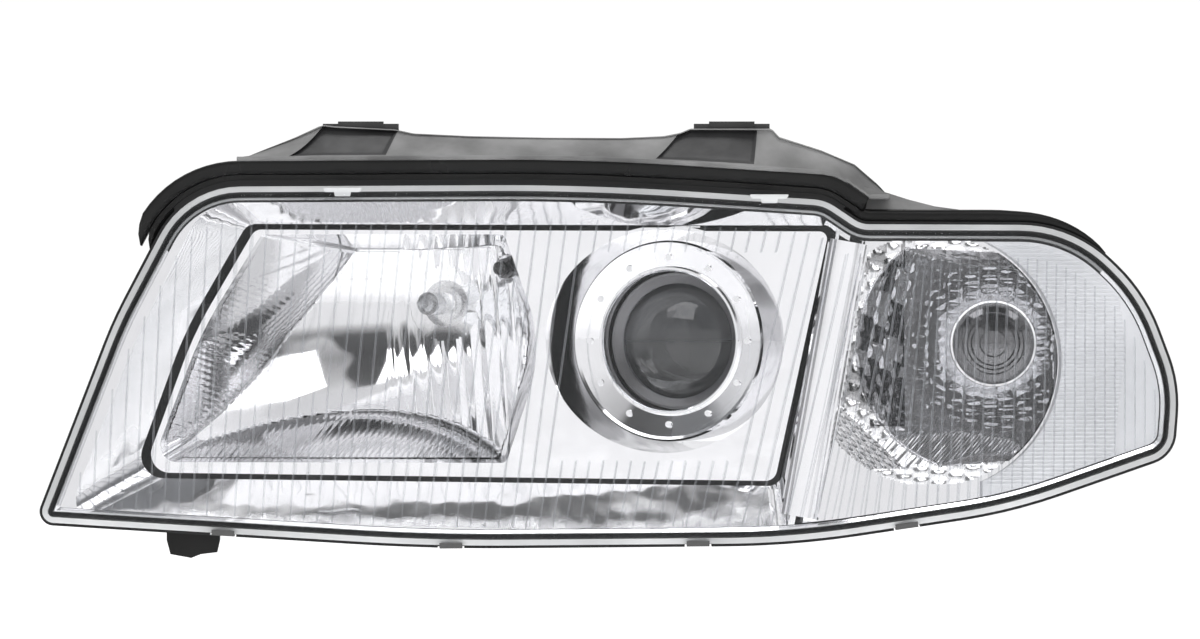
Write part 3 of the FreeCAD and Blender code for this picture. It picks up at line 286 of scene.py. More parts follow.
def bumps(nodes, links, bsdf, layers):
    """Bump from (texture output, distance in mm, strength) layers."""
    last = None
    for source, distance, strength in layers:
        node = nodes.new("ShaderNodeBump")
        node.inputs["Distance"].default_value = distance * MM
        node.inputs["Strength"].default_value = strength
        links.new(source, node.inputs["Height"])
        if last is not None:
            links.new(last.outputs["Normal"], node.inputs["Normal"])
        last = node
    links.new(last.outputs["Normal"], bsdf.inputs["Normal"])


def chrome(name, shade=0.9, rough=0.05, wave=0.02, haziness=0.05, metallic=1.0):
    """Vacuum-metallised plastic: a mirror with slight sink marks and a faint haze."""
    mat, nodes, links, bsdf = tree(name)
    bsdf.inputs["Metallic"].default_value = metallic
    haze = noise_node(nodes, links, 38.0, 5.0)
    tone = [shade * t for t in CHROME_TINT]
    low = [c * 0.94 for c in tone]
    links.new(ramp(nodes, links, haze.outputs["Fac"], [(0.3, low), (0.7, tone)]).outputs["Color"],
              bsdf.inputs["Base Color"])
    smear = noise_node(nodes, links, 90.0, 6.0, (1, 1, 0.35))
    polish = ramp(nodes, links, smear.outputs["Fac"], [(0.35, rough), (0.7, rough + haziness)])
    links.new(polish.outputs["Color"], bsdf.inputs["Roughness"])
    sink = noise_node(nodes, links, 26.0, 2.0)
    bumps(nodes, links, bsdf, [(sink.outputs["Fac"], wave * 10, 0.35)])
    return mat


def plastic(name, colour, rough, grain=0.04, grain_scale=900.0, variation=0.25, coat=0.0, metal=0.0,
            shine=0.5):
    """Moulded plastic or rubber with a fine spark-eroded grain and faint dust."""
    mat, nodes, links, bsdf = tree(name)
    bsdf.inputs["Metallic"].default_value = metal
    bsdf.inputs["Coat Weight"].default_value = coat
    bsdf.inputs["Specular IOR Level"].default_value = shine
    bsdf.inputs["Coat Roughness"].default_value = 0.12
    cloud = noise_node(nodes, links, 22.0, 8.0)
    high = [min(1, c * (1 + variation)) for c in colour]
    low = [c * (1 - variation) for c in colour]
    links.new(ramp(nodes, links, cloud.outputs["Fac"], [(0.32, low), (0.68, high)]).outputs["Color"],
              bsdf.inputs["Base Color"])
    wear = noise_node(nodes, links, 60.0, 6.0)
    links.new(ramp(nodes, links, wear.outputs["Fac"], [(0.3, rough * 0.85), (0.75, min(1, rough * 1.2))])
              .outputs["Color"], bsdf.inputs["Roughness"])
    fine = noise_node(nodes, links, grain_scale, 3.0)
    bumps(nodes, links, bsdf, [(fine.outputs["Fac"], grain, 0.6)])
    return mat


def metal(name, colour, rough, brushed=(1, 1, 1), wave=0.01):
    """Plated, brushed or cast metal."""
    mat, nodes, links, bsdf = tree(name)
    bsdf.inputs["Metallic"].default_value = 1.0
    lines = noise_node(nodes, links, 700.0, 3.0, brushed)
    low = [c * 0.85 for c in colour]
    links.new(ramp(nodes, links, lines.outputs["Fac"], [(0.3, low), (0.7, colour)]).outputs["Color"],
              bsdf.inputs["Base Color"])
    links.new(ramp(nodes, links, lines.outputs["Fac"], [(0.3, rough * 0.8), (0.75, min(1, rough * 1.3))])
              .outputs["Color"], bsdf.inputs["Roughness"])
    bumps(nodes, links, bsdf, [(lines.outputs["Fac"], wave, 0.5)])
    return mat


def clear(name, passed=(0.97, 0.975, 0.98), shine=0.03, cloud=0.02, cloud_colour=(0.9, 0.92, 0.94),
          rim=0.25):
    """Clear plastic as a thin wall: see-through, mirrored towards grazing, with a milky cast set by cloud,
    faint in the clear lens; in lens_edge the strong milky white is painted sheen.
    """
    mat, nodes, links, bsdf = tree(name)
    bsdf.inputs["Base Color"].default_value = (*cloud_colour, 1)
    bsdf.inputs["Roughness"].default_value = shine
    bsdf.inputs["IOR"].default_value = ACRYLIC_IOR
    see = nodes.new("ShaderNodeBsdfTransparent")
    see.inputs["Color"].default_value = (*passed, 1)
    edge = nodes.new("ShaderNodeLayerWeight")
    edge.inputs["Blend"].default_value = 0.25
    dust = noise_node(nodes, links, 14.0, 6.0)
    share = nodes.new("ShaderNodeMapRange")
    share.inputs["To Min"].default_value = cloud
    share.inputs["To Max"].default_value = cloud + rim
    links.new(edge.outputs["Fresnel"], share.inputs["Value"])
    mist = nodes.new("ShaderNodeMapRange")
    mist.inputs["From Min"].default_value = 0.3
    mist.inputs["From Max"].default_value = 0.75
    mist.inputs["To Min"].default_value = 0.8
    mist.inputs["To Max"].default_value = 1.25
    links.new(dust.outputs["Fac"], mist.inputs["Value"])
    total = nodes.new("ShaderNodeMath")
    total.operation = "MULTIPLY"
    links.new(share.outputs["Result"], total.inputs[0])
    links.new(mist.outputs["Result"], total.inputs[1])
    mix = nodes.new("ShaderNodeMixShader")
    links.new(total.outputs["Value"], mix.inputs["Fac"])
    links.new(see.outputs["BSDF"], mix.inputs[1])
    links.new(bsdf.outputs["BSDF"], mix.inputs[2])
    links.new(mix.outputs["Shader"], nodes["Material Output"].inputs["Surface"])
    return mat


def glass(name, tint):
    """Solid glass that bends what is behind it."""
    mat, nodes, links, bsdf = tree(name)
    bsdf.inputs["Transmission Weight"].default_value = 1.0
    bsdf.inputs["IOR"].default_value = GLASS_IOR
    bsdf.inputs["Base Color"].default_value = (*tint, 1)
    seeds = noise_node(nodes, links, 40.0, 4.0)
    links.new(ramp(nodes, links, seeds.outputs["Fac"], [(0.4, 0.0), (0.8, 0.02)]).outputs["Color"],
              bsdf.inputs["Roughness"])
    return mat


def make_materials():
    clear("clear_lens", passed=(0.99, 0.99, 0.995), cloud=0.01, rim=0.3)
    # painted sheen: a milky white that stands in for light reflected inside the clear lens's edge
    clear("lens_edge", cloud=0.6, rim=0.3, cloud_colour=(0.9, 0.91, 0.92), shine=0.08)
    clear("lens_rib", cloud=0.1, rim=0.5, cloud_colour=(0.5, 0.51, 0.53))
    plastic("lens_sealant", (0.02, 0.02, 0.021), 0.7)
    plastic("housing_plastic", (0.014, 0.014, 0.0145), 0.42, grain=0.05, grain_scale=1100.0, shine=0.3)
    chrome("bezel_chrome", 0.82, 0.035, wave=0.2)
    chrome("divider_chrome", 0.96, 0.05)
    chrome("turn_chrome", 0.84, 0.04, wave=0.04)
    chrome("relief_chrome", 0.93, 0.03, haziness=0.02, metallic=0.86)
    # painted shade: a dark copy of the relief's chrome, laid on the relief's shaded cells
    chrome("shade_chrome", 0.36, 0.04, haziness=0.02)
    chrome("panel_chrome", 0.93, 0.04, wave=0.05)
    chrome("reflector_chrome", 0.82, 0.035, wave=0.04)
    chrome("cup_chrome", 0.86, 0.04, wave=0.08)
    chrome("ring_chrome", 0.86, 0.035, wave=0.03)
    chrome("rivet_chrome", 0.85, 0.08)
    metal("optic_glass", (0.17, 0.17, 0.175), 0.06, wave=0.0)
    clear("diffuser_clear", cloud=0.72, rim=0.2, cloud_colour=(0.84, 0.85, 0.87), shine=0.2)
    plastic("carriage_plastic", (0.07, 0.07, 0.073), 0.5)
    metal("stud_steel", (0.55, 0.55, 0.56), 0.3)
    plastic("bush_nylon", (0.7, 0.69, 0.64), 0.35, variation=0.06)
    metal("rod_steel", (0.6, 0.6, 0.61), 0.28, (1, 0.1, 1))
    plastic("motor_plastic", (0.025, 0.025, 0.027), 0.3, coat=0.2)
    plastic("knob_nylon", (0.68, 0.67, 0.62), 0.38, variation=0.06)
    glass("projector_glass", (0.86, 0.88, 0.9))
    metal("retainer_steel", (0.16, 0.16, 0.165), 0.35)
    metal("holder_metal", (0.35, 0.35, 0.36), 0.4)
    metal("shutter_steel", (0.06, 0.06, 0.06), 0.5)
    metal("ellipse_metal", (0.4, 0.4, 0.41), 0.45)
    metal("screw_zinc", (0.62, 0.62, 0.6), 0.3)
    glass("bulb_glass", (0.95, 0.96, 0.97))
    metal("bulb_metal", (0.72, 0.72, 0.73), 0.25)
    plastic("plug_plastic", (0.03, 0.03, 0.03), 0.5)
    metal("spring_wire", (0.66, 0.66, 0.67), 0.22)
    metal("ear_metal", (0.55, 0.55, 0.55), 0.35)
    plastic("holder_plastic", (0.1, 0.1, 0.104), 0.5)
    metal("silvered_glass", (0.72, 0.73, 0.75), 0.08)
    plastic("cover_plastic", (0.024, 0.024, 0.025), 0.45, grain=0.06)
    plastic("cover_rubber", (0.02, 0.02, 0.02), 0.6)
    plastic("connector_plastic", (0.03, 0.03, 0.032), 0.32)
    metal("pin_metal", (0.75, 0.7, 0.55), 0.25)
    plastic("vent_rubber", (0.025, 0.025, 0.025), 0.6)
    plastic("bracket_steel", (0.022, 0.022, 0.023), 0.38, coat=0.3)
    plastic("nut_steel", (0.05, 0.05, 0.05), 0.4, metal=0.6)
    metal("clip_steel", (0.12, 0.12, 0.12), 0.35)
    plastic("foot_rubber", (0.008, 0.008, 0.008), 0.5, shine=0.25)
    plastic("apron_rubber", (0.2, 0.2, 0.2), 0.6, grain=0.12, grain_scale=400.0, variation=0.45,
            shine=0.35)
    plastic("pocket_rubber", (0.035, 0.035, 0.036), 0.5, grain=0.12, grain_scale=400.0, variation=0.5,
            shine=0.3)
    plastic("seal_rubber", (0.007, 0.007, 0.007), 0.32, grain=0.04, grain_scale=500.0, shine=0.2)


def dress_frame():
    """Gives every CAD node the material of its slot."""
    slots = {row["node"]: row["material_slot"] for row in frame["record"]["subparts"]}
    for name, thing in NODES.items():
        thing.data.materials.clear()
        thing.data.materials.append(MATERIALS[slots[name]])


# ---------------------------------------------------------------- lens

LENS_STEP = 6.0
LENS_PLAN = counts(LENS_EDGE, LENS_STEP)
CAP_INSET, CAP_PITCH, LENS_WALL = 18.0, 9.0, 3.0
# The lens's wall in section, as (inset from its edge, depth behind its face).
LENS_OUTSIDE = [
    (3, 40), (3, 22), (0.35, 22), (0, 21.65), (0, 19.35), (0.35, 19), (2.4, 18.7), (2.85, 18.4),
    (3, 17.8), (3, 8), (3.3, 5), (4.3, 2.6), (6, 1.1), (8.5, 0.35), (12, 0.05), (CAP_INSET, 0),
]
LENS_INSIDE = [(CAP_INSET, LENS_WALL), (12, 3.02), (9.6, 3.3), (7.6, 4.2), (6.4, 5.8), (6, 8), (6, 40)]


def lens_ring(inset, depth):
    return [on_face(p.x, p.y, depth) for p in outline(LENS_EDGE, -inset, LENS_PLAN)]


def cap_fill(loop, depth):
    """Points and triangles that fill a loop on the face."""
    flat = [Vector((p.x, p.z)) for p in loop]
    lo_x, hi_x = min(p.x for p in flat), max(p.x for p in flat)
    lo_z, hi_z = min(p.y for p in flat), max(p.y for p in flat)
    inner = []
    rows, columns = int((hi_z - lo_z) / CAP_PITCH), int((hi_x - lo_x) / CAP_PITCH)
    for r in range(1, rows):
        for c in range(1, columns):
            across = lo_x + c * CAP_PITCH + (r % 2) * CAP_PITCH / 2
            spot = Vector((across, lo_z + r * CAP_PITCH))
            if inside(spot, flat) and min((spot - p).length for p in flat) > CAP_PITCH * 0.6:
                inner.append(spot)
    count = len(flat)
    edges = [(i, (i + 1) % count) for i in range(count)]
    spots, _, faces, _, _, _ = geometry.delaunay_2d_cdt(flat + inner, edges, [], 1, 1e-4)
    return [on_face(p.x, p.y, depth) for p in spots], [tuple(f) for f in faces]


def build_lens():
    """The clear cover: a moulded dish with a rolled edge and a flange round it."""
    rings = [lens_ring(*step) for step in LENS_OUTSIDE]
    outside = skin_rings(rings)
    inner_rings = [lens_ring(*step) for step in LENS_INSIDE]
    inner = skin_rings(inner_rings)
    rear = skin_rings([inner_rings[-1], rings[0]])
    front, back = cap_fill(rings[-1], 0.0), cap_fill(inner_rings[0], LENS_WALL)
    points, faces = merge([outside, inner, rear, front, back])
    around = len(rings[0])
    # the flange's front gets lens_edge, its milky white painted sheen
    edge = range(4 * around, 8 * around)  # the flange's front: LENS_OUTSIDE's fifth to ninth rows
    lens = piece("lens_cover", points, faces, "housing", "clear_lens", replaces=["front_lens"],
                 second=("lens_edge", edge))
    weld(lens, 0.02)
    return lens


def weld(thing, reach):
    """Joins points that lie together and turns every face outwards."""
    work = bmesh.new()
    work.from_mesh(thing.data)
    bmesh.ops.remove_doubles(work, verts=work.verts, dist=reach * MM)
    bmesh.ops.recalc_face_normals(work, faces=work.faces)
    work.to_mesh(thing.data)
    work.free()


# Two tabs moulded on the lens's top edge, as (X, lower Z, upper Z).
TABS = [(-107, -38.6, -34.2), (117.5, -42.2, -37.6)]


def build_tabs():
    parts = []
    for middle, low, high in TABS:
        path = [middle + across for across in (-10, -9, -4.5, -4, 4, 4.5, 9, 10)]

        def section(i, x, low=low, high=high):
            tall = 0.35 if i in (0, 7) else 1.0
            foot = high - (high - low) * (1.0 if 2 < i < 5 else 0.5) * tall
            corners = ((foot, 6.5), (high, 6.5), (high, 4.4), (foot, 4.4))
            return [on_face(x, z, depth) for z, depth in corners]

        parts.append(bar(path, section))
    points, faces = merge(parts)
    # the tabs also get lens_edge's milky white painted sheen
    piece("lens_tabs", points, faces, "housing", "clear_lens", smooth=False, look="lens_edge")


# How far the ribs lean, in degrees, as (X, lean).
RIB_LEAN = [(-260, 2), (-171, 3), (0, 7.5), (102, 13), (165, 13), (202, 3.5), (291, 0), (330, 0)]
RIB_PITCH, TURN_RIB_PITCH, RIB_INSET = 7.6, 5.3, 9.5
# Between these X the ribs stop below and above the projector.
RING_SPAN, RING_FOOT, RING_TOP = (8, 112), -178.0, -68.0


def between(table, x):
    """The value at x, straight between a table's rows."""
    if x <= table[0][0]:
        return table[0][1]
    for (xa, va), (xb, vb) in zip(table, table[1:]):
        if x <= xb:
            return va + (vb - va) * (x - xa) / (xb - xa)
    return table[-1][1]


def build_ribs():
    """The fine upright ribs moulded inside the lens."""
    limit = outline(LENS_EDGE, -RIB_INSET, LENS_PLAN)
    loop = [(p.x, p.y) for p in limit]
    x, parts, middle = -258.0, [], -130.0
    while x < 326:
        slope = math.tan(math.radians(between(RIB_LEAN, x)))
        cuts = []
        for (xa, za), (xb, zb) in zip(loop, loop[1:] + loop[:1]):
            da, db = xa - x - slope * (za - middle), xb - x - slope * (zb - middle)
            if (da > 0) != (db > 0):
                cuts.append(za + (zb - za) * da / (da - db))
        if len(cuts) == 2:
            low, high = min(cuts), max(cuts) - 8.0
            broken = RING_SPAN[0] < x < RING_SPAN[1]
            runs = [(low, RING_FOOT), (RING_TOP, high)] if broken else [(low, high)]
            parts += [rib(x, slope, middle, start, end) for start, end in runs if end - start > 8]
        x += RIB_PITCH if x < 160 else TURN_RIB_PITCH
    points, faces = merge(parts)
    piece("lens_ribs", points, faces, "housing", "clear_lens", smooth=False, look="lens_rib")


def rib(x, slope, middle, low, high):
    """One leaning rib on the inside of the lens, drawn in at its ends."""
    steps = max(3, int((high - low) / 25))
    path = [low + (high - low) * k / steps for k in range(steps + 1)]

    def section(i, z):
        at = x + slope * (z - middle)
        end = 0.15 if i in (0, steps) else 1.0
        foot = LENS_WALL - 0.05
        crest = foot + 0.4 * end
        ring = [(-0.5, foot), (-0.32, crest), (0.32, crest), (0.5, foot)]
        return [on_face(at + dx, z, depth) for dx, depth in ring]

    return bar(path, section)


# ---------------------------------------------------------------- rubber

def top_stations(left, right, step=5.0):
    """(point, outward normal) along the lens's top edge between two X, from the inboard side."""
    plan = counts(LENS_EDGE, step)
    base, moved = outline(LENS_EDGE, 0, plan), outline(LENS_EDGE, 1, plan)
    found = []
    for p, q in zip(base, moved):
        normal = q - p
        if normal.length < 0.5:
            continue
        top = p.y > -70 or p.x < left + 30
        if left <= p.x <= right and top and normal.y > -0.2:
            found.append((p, normal))
    return found


def strip(name, stations, section, slot, taper, replaces=()):
    """A rubber strip along stations, from a section of (outset, depth), drawn in at its ends."""
    base = min(outset for outset, _ in section)
    middle = sum(depth for _, depth in section) / len(section)
    run = [0.0]
    for (p, _), (q, _) in zip(stations, stations[1:]):
        run.append(run[-1] + (q - p).length)

    def ring(i, station):
        point, normal = station
        starting, ending = (run[i] / taper[0]) ** 0.5, ((run[-1] - run[i]) / taper[1]) ** 0.5
        share = max(0.12, min(1.0, starting, ending))
        spots = []
        for outset, depth in section:
            wide = base + (outset - base) * share
            deep = middle + (depth - middle) * (0.35 + 0.65 * share)
            wobble = 0.25 * noise.noise(Vector((run[i] / 30, depth / 9, outset / 9)))
            at = point + normal * (wide + wobble)
            spots.append(Vector((at.x, face_y(point.x, point.y, deep), at.y)))
        return spots

    points, faces = bar(stations, ring)
    return piece(name, points, faces, "housing", slot, replaces=replaces, sharp=50)


# The seals and the gutter under the deep one, as (outset from the lens's edge, depth behind the face).
DEEP_SECTION = [
    (6, 25), (6.2, 23), (7, 22.2), (9.5, 21.7), (11.6, 21.4), (12.9, 21.2), (13.7, 21.6), (13.9, 22.6),
    (13.5, 24.5), (12.7, 30), (12.7, 37.5), (12, 39.6), (6.5, 39.6), (6, 38.5),
]
GUTTER_SECTION = [(0.4, 27.5), (1.2, 26.4), (3, 26), (3.4, 25), (6.4, 24.6), (6.4, 33), (0.4, 34)]
SLIM_SECTION = [
    (1.3, 26), (1.7, 24.6), (3.2, 24.1), (5.4, 24), (7.2, 24.4), (7.9, 25.6), (7.8, 34), (7.2, 35.6),
    (2.6, 35.6), (2, 34),
]


def build_seals():
    above = [s for s in top_stations(-247, 167) if s[0].y > -69]
    strip("top_seal", above, DEEP_SECTION, "seal_rubber", (14, 4), ["hood_seal"])
    strip("seal_gutter", above, GUTTER_SECTION, "seal_rubber", (10, 4))
    strip("indicator_seal", top_stations(156, 302), SLIM_SECTION, "seal_rubber", (2, 60), ["turn_seal"])


# The sheet's upper edge as (X, Z).
APRON_TOP = [
    (-163, -19.5), (-150, -14.2), (-133, -7.5), (-118, -0.6), (-112, -1.4), (-80, -3), (-70, -5.2),
    (-40, -6.6), (0, -7.4), (40, -7.6), (62, -6.6), (71, -4.8), (76, -2.6), (119, -2.6), (123, -7),
    (145, -14), (163, -21.6), (168, -26), (175, -32), (181, -38.5),
]
POCKETS = [(-137, -85), (57, 109.5)]  # left and right X of each, before the sheet leans
# The sheet's foot in section, as (outset from the lens's edge, depth behind the face): a bead over the seal.
APRON_FOOT = [(13.2, 23), (13.4, 21.2), (14.3, 20.5), (15.4, 20.8), (15.8, 22), (15.6, 25), (15.4, 31)]
SKEW = [(-163, 0), (-137, 20), (-85, 7), (57, 13), (109.5, 2), (181, 0)]  # how far each part leans by its top


def in_pocket(x, t):
    """How far a point of the sheet is sunk into a pocket, from 0 to 1."""
    near = max(min(x - left, right - x) for left, right in POCKETS)
    return max(0.0, min(1.0, min(near, 30 * (t - 0.06), 40 * (0.97 - t)) / 1.6))


def build_apron():
    """The aged rubber sheet that leans back from the seal, with a pocket in front of each bracket."""
    columns = [-163.0]
    for (start, _), (end, _) in zip(SKEW, SKEW[1:]):
        columns += spread(start, end, 1.7)[1:]
    rises = [0.0, 0.06, 0.1, 0.16, 0.24, 0.36, 0.5, 0.64, 0.78, 0.88, 0.93, 0.96, 0.985, 1.0]
    first = len(APRON_FOOT)
    rows = list(range(first + len(rises)))
    stations = {}
    for point, normal in top_stations(-190, 200, 1.5):
        stations[point.x + normal.x * 15] = (point, normal)
    found = {x: stations[min(stations, key=lambda s: abs(s - x))] for x in columns}

    def spot(x, row, back):
        point, normal = found[x]
        if row < first:
            outset, depth = APRON_FOOT[row]
            at = point + normal * (outset + (-1.2 if back and row > 2 else 0))
            return Vector((x, face_y(x, point.y, depth + (1.6 if back else 0)), at.y))
        t = rises[row - first]
        across = x + between(SKEW, x) * t
        foot = (point + normal * APRON_FOOT[-1][0]).y
        top = max(foot + 0.6, between(APRON_TOP, across))
        start = face_y(x, point.y, 33)
        end = 0.25 * start - 9
        rolled = 1.6 * math.exp(-((t - 0.965) / 0.03) ** 2)
        slack = 3.2 * t * (1 - t) * noise.noise(Vector((x / 22, row / 5, 0.3)))
        y = start + (end - start) * t + 3.2 * in_pocket(x, t) - rolled + slack
        return Vector((across, y + (1.8 if back else 0), foot + (top - foot) * t))

    points, faces = sheet(columns, rows, lambda x, r: spot(x, r, False),
                          lambda x, r: spot(x, r, True), lambda c, r: True)
    sunk, high = [], len(rows) - 1
    for c in range(len(columns) - 1):
        middle = (columns[c] + columns[c + 1]) / 2
        if any(left < middle < right for left, right in POCKETS):
            sunk += [2 * (c * high + r) for r in range(first + 1, first + 11)]
    piece("apron_sheet", points, faces, "housing", "apron_rubber", replaces=["hood_apron"], sharp=60,
          second=("pocket_rubber", sunk))


# The upper edge of the sheet's tail over the slim seal, as (X, Z).
TAIL_TOP = [(166, -33), (172, -34.5), (180, -36.5), (191, -40), (205, -43.6), (220, -45.6), (244, -47.2)]


def build_tail():
    """The low end of the rubber sheet, over the slim seal."""
    columns = spread(166, 244, 1.5)
    rises = [0, 0.25, 0.5, 0.75, 1.0]

    def spot(x, t, back):
        foot = -48.0
        top = max(foot + 0.5, between(TAIL_TOP, x))
        z = foot + (top - foot) * t
        return Vector((x, face_y(x, z, 25.4 + 9 * t + (1.8 if back else 0)), z))

    points, faces = sheet(columns, rises, lambda x, t: spot(x, t, False),
                          lambda x, t: spot(x, t, True), lambda c, r: True)
    piece("apron_tail", points, faces, "housing", "apron_rubber", sharp=60)


# ---------------------------------------------------------------- optics

AHEAD = Vector((math.sin(TOE), math.cos(TOE), 0))
MAIN_VERTEX, MAIN_FOCUS = Vector((-53, 35, -95)), 45.5
PARKING = Vector((-22.6, 7.8, -76.3))
MOUTH_LEFT = [(-178.5, -207.5), (-110, -181.8), (-58.5, -150)]
MOUTH_RIGHT = [(-179, -21), (-150, -11.5), (-120, -6.5), (-90, -10.5), (-58.5, -22)]
PANEL_FRONT = -36.0
MAIN_ROOF, MAIN_FLOOR = -58.5, -178.6
WALL_LEAN, FLOOR_RISE, ROOF_FALL = 0.69, 0.4476, 0.1125
MAIN_HOLE, PARKING_HOLE, TURN_HOLE = 19.8, 7.6, 11.6  # radii left open for the bulbs


def bowl_depth(x, z):
    """Y of the main reflector's bowl: a paraboloid turned outboard by the toe."""
    dx, dz = x - MAIN_VERTEX.x, z - MAIN_VERTEX.z
    s, c, focus = math.sin(TOE), math.cos(TOE), MAIN_FOCUS
    a, b, k = s * s, 4 * focus * c - 2 * c * s * dx, c * c * dx * dx + dz * dz + 4 * focus * s * dx
    return MAIN_VERTEX.y + (-b + math.sqrt(max(0.0, b * b - 4 * a * k))) / (2 * a)


def main_surface(x, z):
    """(Y, which) of the main reflector's inside: its bowl, its inboard wall, its floor or its roof."""
    return min((bowl_depth(x, z), "bowl"),
               (PANEL_FRONT + (x - between(MOUTH_LEFT, z)) / WALL_LEAN, "wall"),
               (PANEL_FRONT + (z - MAIN_FLOOR) / FLOOR_RISE, "floor"),
               (PANEL_FRONT + (MAIN_ROOF - z) / ROOF_FALL, "roof"))


def teeth(s, pitch):
    """A rounded ridge, repeated: 0 in its grooves and 1 on its crests."""
    return abs(math.sin(math.pi * s / pitch))


def build_main_relief():
    """The fine relief on the main reflector: flutes across its bowl, and ribs on its wall and floor."""
    columns, rows = spread(-206, -8, 0.7), spread(-177.2, -60, 1.1)
    surface = {(x, z): main_surface(x, z) for x in columns for z in rows}

    def relief(x, z, kind):
        if kind == "floor":
            return 0.5 * teeth(x - 0.75 * z, 3.4)
        if kind == "wall":
            patch = max(0.0, min(1.0, (-62 - z - 0.25 * (x + 160)) / 8))
            patch *= max(0.0, min(1.0, (-108 - x) / 12))
            return 0.4 * patch * teeth(z + 0.35 * x, 3.4)
        if kind == "bowl":
            flute = max(0.0, min(1.0, (x + 84) / 5))
            step = 0.7 * max(0.0, min(1.0, (z + 82.5) / 1.1)) * (1 - flute)
            return 0.55 * flute * teeth(x + 0.08 * z, 8.2) + step
        return 0.0

    def front(x, z):
        y, kind = surface[x, z]
        return Vector((x, y - 0.3 - relief(x, z, kind), z))

    def back(x, z):
        return Vector((x, surface[x, z][0] - 0.12, z))

    def kept(c, r):
        x, z = (columns[c] + columns[c + 1]) / 2, (rows[r] + rows[r + 1]) / 2
        corners = [surface[columns[a], rows[b]] for a in (c, c + 1) for b in (r, r + 1)]
        if any(kind == "roof" for _, kind in corners):
            return False
        if min(y for y, _ in corners) < PANEL_FRONT + 3.2:
            return False
        if x > between(MOUTH_RIGHT, z) - 5:
            return False
        spot = Vector((x, corners[0][0], z))
        for centre, radius in ((MAIN_VERTEX, MAIN_HOLE), (PARKING, PARKING_HOLE)):
            away = spot - centre
            if (away - AHEAD * away.dot(AHEAD)).length < radius:
                return False
        return True

    points, faces = sheet(columns, rows, front, back, kept)
    piece("main_relief", points, faces, BODY["main_reflector"], "reflector_chrome", sharp=28)


TURN_VERTEX, TURN_FOCUS = Vector((236, 33, -116)), 16.0
# The ribbed floor of the indicator's bowl, between two lines given as (X, Z).
HATCH_TOP = [
    (150, -146), (155, -149), (166, -157), (176, -166.5), (186, -165), (218, -162.5), (244, -166.7),
    (258, -175),
]
HATCH_FOOT = [(149, -184), (186, -182), (215, -179), (239, -174.6), (258, -172)]
DRUM, DRUM_RADIUS = Vector((203, -125)), 67.0  # the round outline of the indicator, in X and Z


def turn_surface(x, z):
    """(Y, which) of the indicator's inside: its bowl, its floor or its roof."""
    reach = (x - TURN_VERTEX.x) ** 2 + (z - TURN_VERTEX.z) ** 2
    hollow = min((TURN_VERTEX.y - reach / (4 * TURN_FOCUS), "bowl"),
                 (-60 + (z + 184) * 110 / 26, "floor"),
                 (-60 + (-62 - z) * 110 / 21, "roof"))
    return max(hollow, (face_y(x, z, 15), "plate"))


def pillow(x, z):
    """(Position across, position up, height) of the indicator's pillows, in whole pillows."""
    lean = x - 0.18 * (z + 116)
    if lean < 189:
        across, up, tall = lean / 7.4, (z + 0.4 * x) / 9.5, 0.7
    else:
        across, up, tall = x / 9.2, z / 5.6, 0.45
    return across, up + 0.3 * math.floor(across), tall


def shade(x, z):
    """True where the indicator's relief gets painted shade, a darker copy of its chrome: many inboard pillows
    and the inboard ribs.
    """
    across, up, _ = pillow(x, z)
    if between(HATCH_FOOT, x) < z < between(HATCH_TOP, x):
        return x < 153.6 - 1.057 * (z + 149)
    share = 0.12 if x < 189 and z > -160 else -1.0
    return noise.noise(Vector((1.7 * math.floor(across), 2.3 * math.floor(up), 0.5))) < share


def build_turn_relief():
    """The indicator's pillows, in rows beside the bulb and leaning columns inboard, over a ribbed floor."""
    columns, rows = spread(142, 268, 0.75), spread(-190, -62, 0.8)
    surface = {(x, z): turn_surface(x, z) for x in columns for z in rows}

    def relief(x, z, kind):
        if between(HATCH_FOOT, x) < z < between(HATCH_TOP, x):
            bend = 153.6 - 1.057 * (z + 149)
            return 0.8 * teeth(x + (-0.9 if x > bend else 1.1) * z, 4.0)
        across, up, tall = pillow(x, z)
        if kind == "plate":
            tall = 0.95
        crown = (teeth(across, 1.0) * teeth(up, 1.0)) ** 0.6
        return tall * crown + 0.15 * noise.noise(Vector((x / 3, z / 3, 0)))

    def front(x, z):
        y, kind = surface[x, z]
        return Vector((x, y - 0.35 - relief(x, z, kind), z))

    def back(x, z):
        return Vector((x, surface[x, z][0] - 0.12, z))

    def kept(c, r):
        x, z = (columns[c] + columns[c + 1]) / 2, (rows[r] + rows[r + 1]) / 2
        if (Vector((x, z)) - DRUM).length > DRUM_RADIUS - 1.0 or x < 158.5 + (z + 130) * 0.179:
            return False
        return (Vector((x, z)) - Vector((TURN_VERTEX.x, TURN_VERTEX.z))).length > TURN_HOLE

    points, faces = sheet(columns, rows, front, back, kept)
    cells = [(c, r) for c in range(len(columns) - 1) for r in range(len(rows) - 1) if kept(c, r)]
    # the cells that shade picks get painted shade, the dark shade_chrome
    shaded = [2 * k for k, (c, r) in enumerate(cells) if shade(columns[c], rows[r])]
    piece("turn_relief", points, faces, BODY["turn_reflector"], "turn_chrome", sharp=24,
          look="relief_chrome", second=("shade_chrome", shaded))


AROUND = 96  # points round a turned body


def lathe(profile, base, along, aside):
    """A closed turned body: profile is (radius, distance along) pairs that start and end on the axis."""
    upward = along.cross(aside)
    points, faces = [base + along * profile[0][1], base + along * profile[-1][1]], []
    rings = profile[1:-1]
    for radius, distance in rings:
        for k in range(AROUND):
            angle = 2 * math.pi * k / AROUND
            spoke = aside * math.cos(angle) + upward * math.sin(angle)
            points.append(base + along * distance + spoke * radius)
    for r in range(len(rings) - 1):
        for k in range(AROUND):
            j = (k + 1) % AROUND
            near, far = 2 + r * AROUND, 2 + (r + 1) * AROUND
            faces.append((near + k, near + j, far + j, far + k))
    last = 2 + (len(rings) - 1) * AROUND
    for k in range(AROUND):
        j = (k + 1) % AROUND
        faces.append((0, 2 + k, 2 + j))
        faces.append((1, last + j, last + k))
    return points, faces


